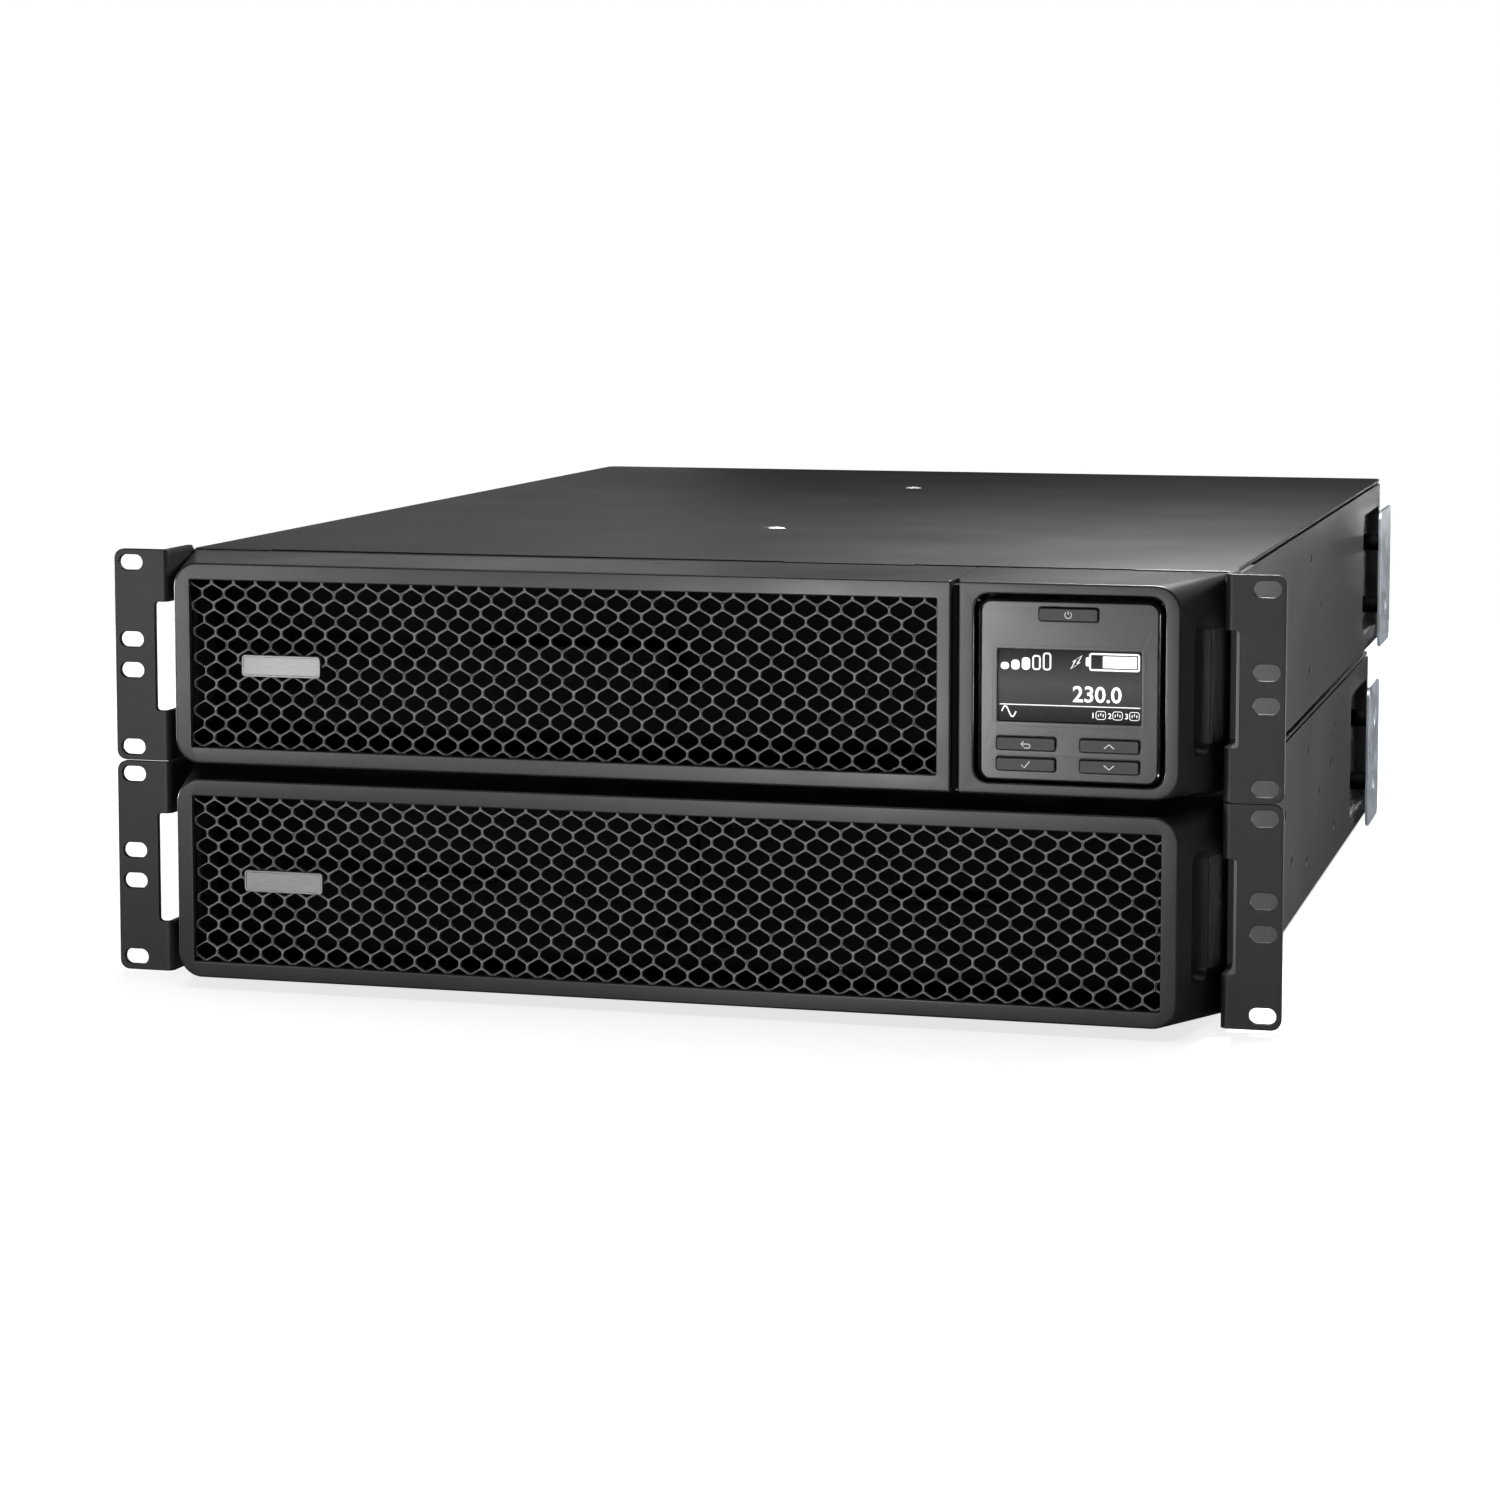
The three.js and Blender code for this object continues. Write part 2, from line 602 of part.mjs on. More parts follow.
const BATTERY_FRONT = 33;
const TRAY_LOW = FLOOR_TOP + CLEAR;
const TRAY_SHEET = 1.2;
const TRAY_WALL = 22;
const CELLS_TOP = 78;
const DOOR_TOP = 81;
const DOOR_SHEET = 1.5;
const DOOR_FOLD = 5;

function batteryTray(x0, x1, y1) {
  const outer = block(x0, x1, BATTERY_FRONT, y1, TRAY_LOW, TRAY_LOW + TRAY_WALL);
  const room = block(
    x0 + TRAY_SHEET,
    x1 - TRAY_SHEET,
    BATTERY_FRONT - 1,
    y1 - TRAY_SHEET,
    TRAY_LOW + TRAY_SHEET,
    TRAY_LOW + TRAY_WALL + 1,
  );
  return cut(outer, room);
}

// Rows of sealed cells strapped into one block, with a groove between neighbours and a lid line.
function batteryCells(x0, x1, y1, columns, rows) {
  const left = x0 + TRAY_SHEET + CLEAR;
  const right = x1 - TRAY_SHEET - CLEAR;
  const front = BATTERY_FRONT + CLEAR;
  const back = y1 - TRAY_SHEET - CLEAR;
  const low = TRAY_LOW + TRAY_SHEET + CLEAR;
  const body = block(left, right, front, back, low, CELLS_TOP);
  const grooves = [];
  for (let i = 1; i < columns; i += 1) {
    const x = left + ((right - left) * i) / columns;
    grooves.push(block(x - 1, x + 1, front - 1, back + 1, CELLS_TOP - 12, CELLS_TOP + 1));
  }
  for (let i = 1; i < rows; i += 1) {
    const y = front + ((back - front) * i) / rows;
    grooves.push(block(left - 1, right + 1, y - 1, y + 1, CELLS_TOP - 12, CELLS_TOP + 1));
  }
  return cut(body, ...grooves);
}

// The steel door across a module's front, with two folded edges for stiffness.
function batteryDoor(x0, x1) {
  const back = BATTERY_FRONT - CLEAR;
  const sheet = block(x0, x1, back - DOOR_SHEET, back, TRAY_LOW, DOOR_TOP);
  const topFold = block(x0, x1, back - DOOR_FOLD, back, DOOR_TOP - DOOR_SHEET, DOOR_TOP);
  const lowFold = block(x0, x1, back - DOOR_FOLD, back, TRAY_LOW, TRAY_LOW + DOOR_SHEET);
  return join(sheet, topFold, lowFold);
}

const HANDLE = { half: 42, post: 9, front: 11, depth: 5, low: 34, high: 52 };

// The single module's door carries a pull handle on two posts.
function upsDoor(x0, x1) {
  const x = (x0 + x1) / 2;
  const doorFront = BATTERY_FRONT - CLEAR - DOOR_SHEET;
  const { half, post, front, depth, low, high } = HANDLE;
  const bar = block(x - half, x + half, front, front + depth, low, high);
  const posts = [x - half, x + half - post].map((left) =>
    block(left, left + post, front, doorFront + 0.5, low, high),
  );
  return join(batteryDoor(x0, x1), bar, ...posts);
}

const PULL_TAB = { half: 22, reach: 14, low: 42, sheet: 1.5, roll: 1.8 };

// A pack door carries a flat pull tab with a rolled edge.
function packDoor(x0, x1) {
  const middle = (x0 + x1) / 2;
  const face = BATTERY_FRONT - CLEAR - DOOR_SHEET;
  const { half, reach, low, sheet, roll } = PULL_TAB;
  const tab = block(middle - half, middle + half, face - reach, face + 0.5, low, low + sheet);
  const edge = rodX(middle - half, middle + half, face - reach, low + sheet / 2, roll, 10);
  return join(batteryDoor(x0, x1), tab, edge);
}

const BAY_LEFT = -212.6;
const BAY_RIGHT = 112.3;
const BAY_FRONT = 30;
const BAY_BACK = 392;
const BAY_SHEET = 1.2;

// The wall that keeps the battery apart from the electronics beside and behind it.
function batteryBayWall() {
  const right = BAY_RIGHT + BAY_SHEET;
  const outline = [
    [BAY_RIGHT, BAY_FRONT],
    [right, BAY_FRONT],
    [right, BAY_BACK],
    [BAY_LEFT, BAY_BACK],
    [BAY_LEFT, BAY_BACK - BAY_SHEET],
    [BAY_RIGHT, BAY_BACK - BAY_SHEET],
  ].map(([x, y]) => new THREE.Vector2(x, y));
  return solidOf(alongZ(outline, TRAY_LOW, SIDE_TOP - CLEAR));
}

// ---------- electronics ----------

const POWER_BOARD = { half: 208, front: 402, back: 578, low: 9 };
const BOARD_POST_INSET = { x: 12, y: 10, radius: 3 };
const CAPACITOR = { x: -20, pitch: 36, y: 440, top: 62, radius: 15, count: 4 };
const CHOKE = { x: 30, pitch: 52, y: 500, top: 40, radius: 20, count: 2 };

// The main board on its posts, with a row of capacitors and two chokes.
function powerBoard() {
  const { half, front, back, low } = POWER_BOARD;
  const top = low + BOARD_SHEET;
  const plate = block(-half, half, front, back, low, top);
  const postX = half - BOARD_POST_INSET.x;
  const postRows = [front + BOARD_POST_INSET.y, back - BOARD_POST_INSET.y];
  const posts = [-postX, 0, postX].flatMap((x) =>
    postRows.map((y) => rodZ(x, y, FLOOR_TOP + CLEAR, low + 0.5, BOARD_POST_INSET.radius, 8)),
  );
  const parts = [CAPACITOR, CHOKE].flatMap((part) =>
    Array.from({ length: part.count }, (_, i) =>
      rodZ(part.x + part.pitch * i, part.y, top - 0.5, part.top, part.radius, 16),
    ),
  );
  return join(plate, ...posts, ...parts);
}

const HEAT_SINK = { left: -190, right: -60, front: 420, back: 560, low: 11, baseTop: 16, top: 70 };
const FIN_COUNT = 12;
const FIN_HALF = 1.2;

// An extruded heat sink: a base with a row of upright fins.
function heatSink() {
  const h = HEAT_SINK;
  const base = block(h.left, h.right, h.front, h.back, h.low, h.baseTop);
  const first = h.left + FIN_HALF;
  const last = h.right - FIN_HALF;
  const fins = Array.from({ length: FIN_COUNT }, (_, i) => {
    const x = first + (i * (last - first)) / (FIN_COUNT - 1);
    return block(x - FIN_HALF, x + FIN_HALF, h.front, h.back, h.baseTop - 0.5, h.top);
  });
  return join(base, ...fins);
}

const CORE = { left: 128, right: 206, front: 70, back: 160, top: 74 };
const COIL_MARGIN = { x: 10, y: 14, z: 10 };

// A laminated core with its winding standing proud on both long sides.
function transformer() {
  const core = block(CORE.left, CORE.right, CORE.front, CORE.back, TRAY_LOW, CORE.top);
  const coil = facePlate(
    CORE.left + COIL_MARGIN.x,
    CORE.right - COIL_MARGIN.x,
    TRAY_LOW + COIL_MARGIN.z,
    CORE.top - COIL_MARGIN.z,
    10,
    CORE.front - COIL_MARGIN.y,
    CORE.back + COIL_MARGIN.y,
  );
  return join(core, coil);
}

const FAN_HALF = 30;
const FAN_BORE = 28.5;
const FAN_FRONT = 583;
const FAN_BACK = 609.5;
const FAN_Z = 45;
const FANS = { left: -160, right: -94 };
const SPIDER_DEPTH = 3; // the spokes that hold the motor
const SPOKE_HALF = 1.5;
const BLADE = { count: 7, thickness: 1.4, chord: 17, pitch: 0.75 };
const ROTOR_RADIUS = 27.3;
const HUB_RADIUS = 13;

function fanFrame(x) {
  const low = FAN_Z - FAN_HALF;
  const high = FAN_Z + FAN_HALF;
  const shell = facePlate(x - FAN_HALF, x + FAN_HALF, low, high, 4, FAN_FRONT, FAN_BACK);
  const bored = cut(shell, rodY(x, FAN_FRONT - 1, FAN_BACK + 1, FAN_Z, FAN_BORE, 28));
  const spiderFront = FAN_BACK - SPIDER_DEPTH;
  const reach = FAN_HALF - 1;
  const hub = rodY(x, spiderFront, FAN_BACK, FAN_Z, HUB_RADIUS, 16);
  const level = block(x - reach, x + reach, spiderFront, FAN_BACK, FAN_Z - SPOKE_HALF, FAN_Z + SPOKE_HALF);
  const upright = block(x - SPOKE_HALF, x + SPOKE_HALF, spiderFront, FAN_BACK, low + 1, high - 1);
  return join(bored, hub, level, upright);
}

// A motor hub with pitched blades; each blade is a slab turned about its own radius.
function fanRotor(x) {
  const front = FAN_FRONT + 2;
  const back = FAN_BACK - SPIDER_DEPTH - 2 * CLEAR;
  const middle = (front + back) / 2;
  const hub = rodY(x, front, back, FAN_Z, HUB_RADIUS, 16);
  const slabs = Array.from({ length: BLADE.count }, (_, i) => {
    const slab = new THREE.BoxGeometry(BLADE.thickness, BLADE.chord, ROTOR_RADIUS - HUB_RADIUS + 1);
    slab.rotateZ(BLADE.pitch);
    slab.translate(0, 0, (ROTOR_RADIUS + HUB_RADIUS - 1) / 2 - 0.6);
    slab.rotateY((i * 2 * Math.PI) / BLADE.count);
    return solidOf(slab.translate(x, middle, FAN_Z));
  });
  return join(hub, ...slabs);
}

// Outer and inner radii of the guard's two open rings.
const GUARD_RINGS = [
  [27.5, 20],
  [18, 10],
];
const GUARD_BAR_HALF = 1.2;

// The finger guard pressed into the rear wall: what is cut away between two rings and a cross.
function fanGuardCut(x) {
  const y0 = UPS_REAR - SHEET - 1;
  const y1 = UPS_REAR + 1;
  const rings = GUARD_RINGS.map(([outer, inner]) =>
    cut(rodY(x, y0, y1, FAN_Z, outer, 24), rodY(x, y0 - 1, y1 + 1, FAN_Z, inner, 24)),
  );
  const bar = GUARD_BAR_HALF;
  const level = block(x - FAN_HALF, x + FAN_HALF, y0, y1, FAN_Z - bar, FAN_Z + bar);
  const upright = block(x - bar, x + bar, y0, y1, FAN_Z - FAN_HALF, FAN_Z + FAN_HALF);
  return cut(join(...rings), level, upright);
}

// ---------- rear fittings ----------

const FLANGE = 2; // how far a fitting's flange stands out behind the rear wall
const throughWall = (rear, x0, x1, z0, z1) => block(x0, x1, rear - SHEET - 3, rear + 1, z0, z1);

// A moulded body that passes through the rear wall and stops against it with a flange.
function fitting(rear, x0, x1, z0, z1, depth, lip = 2) {
  const face = rear + CLEAR;
  const flange = facePlate(x0 - lip, x1 + lip, z0 - lip, z1 + lip, 1.5, face, face + FLANGE, 3);
  const body = block(x0, x1, rear - depth, face + 0.5, z0, z1);
  return join(flange, body);
}
const socketCut = (rear, x, z, { width, height, depth }) =>
  facePlate(
    x - width / 2,
    x + width / 2,
    z - height / 2,
    z + height / 2,
    3,
    rear + CLEAR + FLANGE - depth,
    rear + CLEAR + FLANGE + 1,
    3,
  );

const OUTLET_BLOCK = { left: 72, right: 136, low: 16, high: 72 };
const OUTLET_COLUMNS = [88, 120];
const OUTLET_ROWS = [30, 58];
const OUTLET = { width: 25, height: 17, depth: 15 };
const HEAVY_BLOCK = { left: 143, right: 172, low: 12, high: 76 };
const HEAVY_ROWS = [28, 60];
const HEAVY_OUTLET = { width: 22, height: 27, depth: 18 };
const INLET = { left: 178, right: 205, low: 46, high: 72 };
const LINK = { left: 178, right: 204, low: 12, high: 36 };
const CARD_SLOT = { left: -54, right: 64, low: 44, high: 78 };
const PORTS = { left: -54, right: 64, low: 10, high: 36 };
const BREAKER = { x: -200, z: 30 };
const FITTING_DEPTH = 26; // how far a socket's body reaches into the case

function outletBlock() {
  const b = OUTLET_BLOCK;
  const sockets = OUTLET_COLUMNS.flatMap((x) => OUTLET_ROWS.map((z) => socketCut(UPS_REAR, x, z, OUTLET)));
  return cut(fitting(UPS_REAR, b.left, b.right, b.low, b.high, FITTING_DEPTH), ...sockets);
}

function heavyOutletBlock() {
  const b = HEAVY_BLOCK;
  const x = (b.left + b.right) / 2;
  const sockets = HEAVY_ROWS.map((z) => socketCut(UPS_REAR, x, z, HEAVY_OUTLET));
  return cut(fitting(UPS_REAR, b.left, b.right, b.low, b.high, FITTING_DEPTH + 2), ...sockets);
}

function inletConnector() {
  const b = INLET;
  const middle = (b.left + b.right) / 2;
  return cut(
    fitting(UPS_REAR, b.left, b.right, b.low, b.high, FITTING_DEPTH, 1.5),
    socketCut(UPS_REAR, middle, (b.low + b.high) / 2, { width: 23, height: 21, depth: 18 }),
  );
}

// The two-pole socket for the cable between the units.
function linkConnector(rear, x0, x1, z0, z1) {
  const room = { width: x1 - x0 - 4, height: z1 - z0 - 6, depth: 16 };
  return cut(fitting(rear, x0, x1, z0, z1, 24), socketCut(rear, (x0 + x1) / 2, (z0 + z1) / 2, room));
}

// A blank sheet over the accessory card slot, held by a screw at each end.
function cardSlotCover() {
  const s = CARD_SLOT;
  const face = UPS_REAR + CLEAR;
  const plate = facePlate(s.left - 5, s.right + 5, s.low - 3, s.high + 3, 1.5, face, face + 1.5, 3);
  const screws = [s.left - 1, s.right + 1].map((x) => rodY(x, face + 1, face + 4, (s.low + s.high) / 2, 3.2, 14));
  return join(plate, ...screws);
}

// The carrier of the communication ports, without the ports' own openings.
function commPorts() {
  const p = PORTS;
  return fitting(UPS_REAR, p.left, p.right, p.low, p.high, 16, 1.5);
}

const BREAKER_RADIUS = 5;
const breakerButton = () =>
  join(
    rodY(BREAKER.x, UPS_REAR - 10, UPS_REAR + 4.5, BREAKER.z, BREAKER_RADIUS, 16),
    rodY(BREAKER.x, UPS_REAR - 9, UPS_REAR - SHEET - CLEAR, BREAKER.z, BREAKER_RADIUS + 2, 16),
  );

const PACK_BREAKER = { left: 100, right: 128, low: 24, high: 64 };
const LEVER_Y = PACK_REAR - 4;
const LEVER_Z = 44;
const LEVER_HALF = 5;
const LEVER_REST = (24 * Math.PI) / 180;
const LEVER_ROOM = { depth: 14, low: 31, high: 57 };

// The disconnect breaker: a case with a slot for its lever.
function packBreakerBody() {
  const b = PACK_BREAKER;
  const x = (b.left + b.right) / 2;
  const half = LEVER_HALF + CLEAR;
  const roomFront = PACK_REAR - LEVER_ROOM.depth;
  const room = block(x - half, x + half, roomFront, PACK_REAR + 5, LEVER_ROOM.low, LEVER_ROOM.high);
  return cut(fitting(PACK_REAR, b.left, b.right, b.low, b.high, 30), room);
}

// A drum with a short toggle, at rest in its lower position.
function packBreakerLever() {
  const x = (PACK_BREAKER.left + PACK_BREAKER.right) / 2;
  const drum = rodX(x - LEVER_HALF, x + LEVER_HALF, LEVER_Y, LEVER_Z, 6, 20);
  const toggle = new THREE.BoxGeometry(2 * LEVER_HALF, 12, 4);
  toggle.translate(0, 7, 0);
  toggle.rotateX(-LEVER_REST);
  return join(drum, solidOf(toggle.translate(x, LEVER_Y, LEVER_Z)));
}

// ---------- the two units ----------

const UPS_BATTERY = { left: -206, right: 110, back: 385, columns: 3, rows: 2 };
const PACK_BATTERY_BACK = 470;
const PACK_MODULES = { left: [-206, -1], right: [1, 206] };
const PACK_LINKS = { pack_link_in: -80, pack_link_out: -20 };

function frontSteel(prefix, group) {
  for (const side of [-1, 1]) group.add(piece(`${prefix}_ear_${sideName(side)}`, ear(side), "blackSteel"));
}

function upsUnit() {
  const unit = new THREE.Group();
  const add = (name, solid, material) => unit.add(piece(name, solid, material));
  add("ups_chassis", chassis(UPS_REAR, RAIL_HOLES), "blackSteel");
  add("ups_top_cover", topCover(UPS_REAR), "blackSteel");
  frontSteel("ups", unit);
  for (const side of [-1, 1]) add(`ups_rear_bracket_${sideName(side)}`, rearBracket(UPS_REAR, side), "zinc");
  const g = CLEAR;
  const openings = [
    ...Object.values(FANS).map(fanGuardCut),
    ...[OUTLET_BLOCK, HEAVY_BLOCK, INLET, LINK, PORTS].map((b) =>
      throughWall(UPS_REAR, b.left - g, b.right + g, b.low - g, b.high + g),
    ),
    rodY(BREAKER.x, UPS_REAR - 3, UPS_REAR + 1, BREAKER.z, BREAKER_RADIUS + g, 16),
  ];
  add("ups_rear_panel", rearPanel(UPS_REAR, openings), "blackSteel");
  add("ups_battery_bezel", batteryBezel(), "bezelPlastic");
  add("ups_grille", grille(GRILLE_LEFT, UPS_GRILLE_RIGHT), "grillePlastic");
  add("ups_badge", badge(), "badge");
  add("display_bezel", displayBezel(), "bezelPlastic");
  unit.add(displayModule());
  const { left, right, back, columns, rows } = UPS_BATTERY;
  add("ups_battery_tray", batteryTray(left, right, back), "zinc");
  add("ups_battery_cells", batteryCells(left, right, back, columns, rows), "batteryBlack");
  add("ups_battery_door", upsDoor(left, right), "blackSteel");
  add("battery_bay_wall", batteryBayWall(), "zinc");
  add("power_board", powerBoard(), "board");
  add("heat_sink", heatSink(), "aluminium");
  add("transformer", transformer(), "copper");
  for (const [side, x] of Object.entries(FANS)) {
    add(`fan_frame_${side}`, fanFrame(x), "fanBlack");
    add(`fan_rotor_${side}`, fanRotor(x), "fanBlack");
  }
  add("inlet_connector", inletConnector(), "socketBlack");
  add("outlet_block", outletBlock(), "socketBlack");
  add("heavy_outlet_block", heavyOutletBlock(), "socketBlack");
  add("card_slot_cover", cardSlotCover(), "blackSteel");
  add("comm_port_block", commPorts(), "socketBlack");
  add("ups_link_connector", linkConnector(UPS_REAR, LINK.left, LINK.right, LINK.low, LINK.high), "connectorGrey");
  add("breaker_reset_button", breakerButton(), "keyWhite");
  return unit;
}

function packUnit() {
  const unit = new THREE.Group();
  const add = (name, solid, material) => unit.add(piece(name, solid, material));
  add("pack_chassis", chassis(PACK_REAR, [...RAIL_HOLES, ...PACK_EXTRA_HOLES]), "blackSteel");
  add("pack_top_cover", topCover(PACK_REAR), "blackSteel");
  frontSteel("pack", unit);
  for (const side of [-1, 1]) add(`pack_rear_bracket_${sideName(side)}`, rearBracket(PACK_REAR, side), "zinc");
  const links = Object.values(PACK_LINKS).map((x) => ({ left: x - 15, right: x + 15, low: 30, high: 58 }));
  const g = CLEAR;
  const openings = [...links, PACK_BREAKER].map((b) =>
    throughWall(PACK_REAR, b.left - g, b.right + g, b.low - g, b.high + g),
  );
  add("pack_rear_panel", rearPanel(PACK_REAR, openings), "blackSteel");
  add("pack_bezel", packBezel(), "bezelPlastic");
  add("pack_grille", grille(GRILLE_LEFT, -GRILLE_LEFT), "grillePlastic");
  add("pack_badge", badge(), "badge");
  for (const [side, [x0, x1]] of Object.entries(PACK_MODULES)) {
    add(`pack_tray_${side}`, batteryTray(x0, x1, PACK_BATTERY_BACK), "zinc");
    add(`pack_cells_${side}`, batteryCells(x0, x1, PACK_BATTERY_BACK, 2, 3), "batteryBlack");
    add(`pack_door_${side}`, packDoor(x0, x1), "blackSteel");
  }
  Object.keys(PACK_LINKS).forEach((name, i) => {
    const b = links[i];
    add(name, linkConnector(PACK_REAR, b.left, b.right, b.low, b.high), "connectorGrey");
  });
  add("pack_breaker_body", packBreakerBody(), "socketBlack");
  add("pack_breaker_lever", packBreakerLever(), "keyWhite");
  return unit;
}

const root = new THREE.Group();
const ups = upsUnit();
ups.position.z = UNIT_PITCH;
root.add(packUnit(), ups);

// The origin goes to the middle of the box's base.
const bounds = new THREE.Box3().setFromObject(root);
root.position.y = -(bounds.min.y + bounds.max.y) / 2;

export default root;
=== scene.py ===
"""The looks of a rack-mount power supply on its battery pack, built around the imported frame.

Lengths are in millimetres in each unit's own frame, as in the design: x = 0 on the centre line,
y = 0 on the front plane of the rack ears, z = 0 under the feet. piece() turns them into metres.
"""

import json
import math

import bmesh
import bpy
from mathutils import Matrix, Vector
from mathutils.geometry import tessellate_polygon

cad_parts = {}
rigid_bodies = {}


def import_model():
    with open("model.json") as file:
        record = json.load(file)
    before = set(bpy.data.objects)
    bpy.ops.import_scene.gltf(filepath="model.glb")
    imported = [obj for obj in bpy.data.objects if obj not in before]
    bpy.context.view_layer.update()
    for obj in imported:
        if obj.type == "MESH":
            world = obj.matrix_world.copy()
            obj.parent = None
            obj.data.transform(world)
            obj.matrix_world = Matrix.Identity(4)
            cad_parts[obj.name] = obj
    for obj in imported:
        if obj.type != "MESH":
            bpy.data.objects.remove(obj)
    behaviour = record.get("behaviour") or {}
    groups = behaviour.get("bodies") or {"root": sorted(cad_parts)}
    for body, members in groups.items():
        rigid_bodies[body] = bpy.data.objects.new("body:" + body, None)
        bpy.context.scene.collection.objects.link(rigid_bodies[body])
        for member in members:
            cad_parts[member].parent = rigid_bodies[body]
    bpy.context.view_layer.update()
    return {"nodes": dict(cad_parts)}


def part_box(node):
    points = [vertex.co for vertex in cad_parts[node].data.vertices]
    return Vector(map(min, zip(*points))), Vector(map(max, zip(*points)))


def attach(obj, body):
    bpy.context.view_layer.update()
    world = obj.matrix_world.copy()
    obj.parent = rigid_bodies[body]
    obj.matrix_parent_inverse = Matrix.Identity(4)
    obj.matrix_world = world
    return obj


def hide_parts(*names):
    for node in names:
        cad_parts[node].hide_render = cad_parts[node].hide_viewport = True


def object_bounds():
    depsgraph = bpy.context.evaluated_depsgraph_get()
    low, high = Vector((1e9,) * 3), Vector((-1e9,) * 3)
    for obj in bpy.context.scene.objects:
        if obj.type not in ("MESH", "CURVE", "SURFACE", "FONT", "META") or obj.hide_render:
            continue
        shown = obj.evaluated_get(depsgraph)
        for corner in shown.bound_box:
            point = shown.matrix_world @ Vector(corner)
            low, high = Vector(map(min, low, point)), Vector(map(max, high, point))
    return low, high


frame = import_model()

MM = 0.001
QUARTER = math.pi / 2


# ---------- places from the frame ----------

def unit_origin(prefix):
    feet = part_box(prefix + "_chassis")[0].z
    ear_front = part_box(prefix + "_ear_right")[0].y
    return Vector((0.0, ear_front, feet))


UNITS = ("ups", "pack")
SIDES = ((-1, "left"), (1, "right"))
ORIGINS = {unit: unit_origin(unit) for unit in UNITS}


class Span:
    """A CAD node's box in its unit's own frame, in millimetres."""

    def __init__(self, node):
        origin = ORIGINS["pack" if node.startswith("pack") else "ups"]
        low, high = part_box(node)
        self.x0, self.y0, self.z0 = ((low - origin) / MM)[:]
        self.x1, self.y1, self.z1 = ((high - origin) / MM)[:]
        self.x = (self.x0 + self.x1) / 2
        self.z = (self.z0 + self.z1) / 2


# ---------- materials ----------

class Nodes:
    """A material's node tree, with its Principled shader and object coordinates at hand."""

    def __init__(self, name, roughness, metallic=0.0, specular=0.5, ior=1.5, coat=0.0, coat_roughness=0.1):
        self.material = bpy.data.materials.new(name)
        self.material.use_nodes = True
        self.tree = self.material.node_tree
        self.shader = self.tree.nodes["Principled BSDF"]
        settings = {
            "Roughness": roughness,
            "Metallic": metallic,
            "Specular IOR Level": specular,
            "IOR": ior,
            "Coat Weight": coat,
            "Coat Roughness": coat_roughness,
        }
        for socket, value in settings.items():
            self.shader.inputs[socket].default_value = value
        self.place = self.node("ShaderNodeTexCoord").outputs["Object"]

    def node(self, kind, **settings):
        made = self.tree.nodes.new(kind)
        for key, value in settings.items():
            setattr(made, key, value)
        return made

    def link(self, source, target):
        self.tree.links.new(source, target)

    def noise(self, per_mm, detail=2.0, rough=0.5, stretch=(1, 1, 1)):
        """A noise pattern with per_mm features to the millimetre."""
        mapping = self.node("ShaderNodeMapping")
        mapping.inputs["Scale"].default_value = [s * per_mm / MM for s in stretch]
        self.link(self.place, mapping.inputs["Vector"])
        made = self.node("ShaderNodeTexNoise")
        made.inputs["Scale"].default_value = 1.0
        made.inputs["Detail"].default_value = detail
        made.inputs["Roughness"].default_value = rough
        self.link(mapping.outputs["Vector"], made.inputs["Vector"])
        return made.outputs["Fac"]

    def cells(self, per_mm):
        made = self.node("ShaderNodeTexVoronoi")
        made.inputs["Scale"].default_value = per_mm / MM
        self.link(self.place, made.inputs["Vector"])
        return made

    def ramp(self, factor, *stops):
        """A colour ramp; each stop is (position, grey or colour)."""
        made = self.node("ShaderNodeValToRGB")
        elements = made.color_ramp.elements
        while len(elements) < len(stops):
            elements.new(0.5)
        for element, (position, colour) in zip(elements, stops):
            element.position = position
            rgb = (colour, colour, colour) if isinstance(colour, (int, float)) else colour
            element.color = (*rgb, 1.0)
        self.link(factor, made.inputs["Fac"])
        return made.outputs["Color"]

    def span(self, factor, low, high, out_low, out_high):
        """Maps low..high to out_low..out_high, and holds the ends."""
        made = self.node("ShaderNodeMapRange")
        for index, value in enumerate((low, high, out_low, out_high), start=1):
            made.inputs[index].default_value = value
        self.link(factor, made.inputs[0])
        return made.outputs[0]

    def mix(self, factor, first, second, blend="MIX"):
        made = self.node("ShaderNodeMix", data_type="RGBA", blend_type=blend)
        if isinstance(factor, (int, float)):
            made.inputs["Factor"].default_value = factor
        else:
            self.link(factor, made.inputs["Factor"])
        for socket, value in ((made.inputs[6], first), (made.inputs[7], second)):
            if isinstance(value, tuple):
                socket.default_value = (*value, 1.0)
            else:
                self.link(value, socket)
        return made.outputs[2]

    def bump(self, height, depth_mm):
        made = self.node("ShaderNodeBump")
        made.inputs["Distance"].default_value = depth_mm * MM
        self.link(height, made.inputs["Height"])
        self.link(made.outputs["Normal"], self.shader.inputs["Normal"])

    def colour(self, source):
        self.link(source, self.shader.inputs["Base Color"])

    def roughness(self, source):
        self.link(source, self.shader.inputs["Roughness"])

    def glow(self, colour, strength):
        """Gives off light of a linked or uniform colour."""
        socket = self.shader.inputs["Emission Color"]
        if isinstance(colour, tuple):
            socket.default_value = (*colour, 1.0)
        else:
            self.link(colour, socket)
        self.shader.inputs["Emission Strength"].default_value = strength


def scaled(colour, factor):
    return tuple(min(c * factor, 1.0) for c in colour)


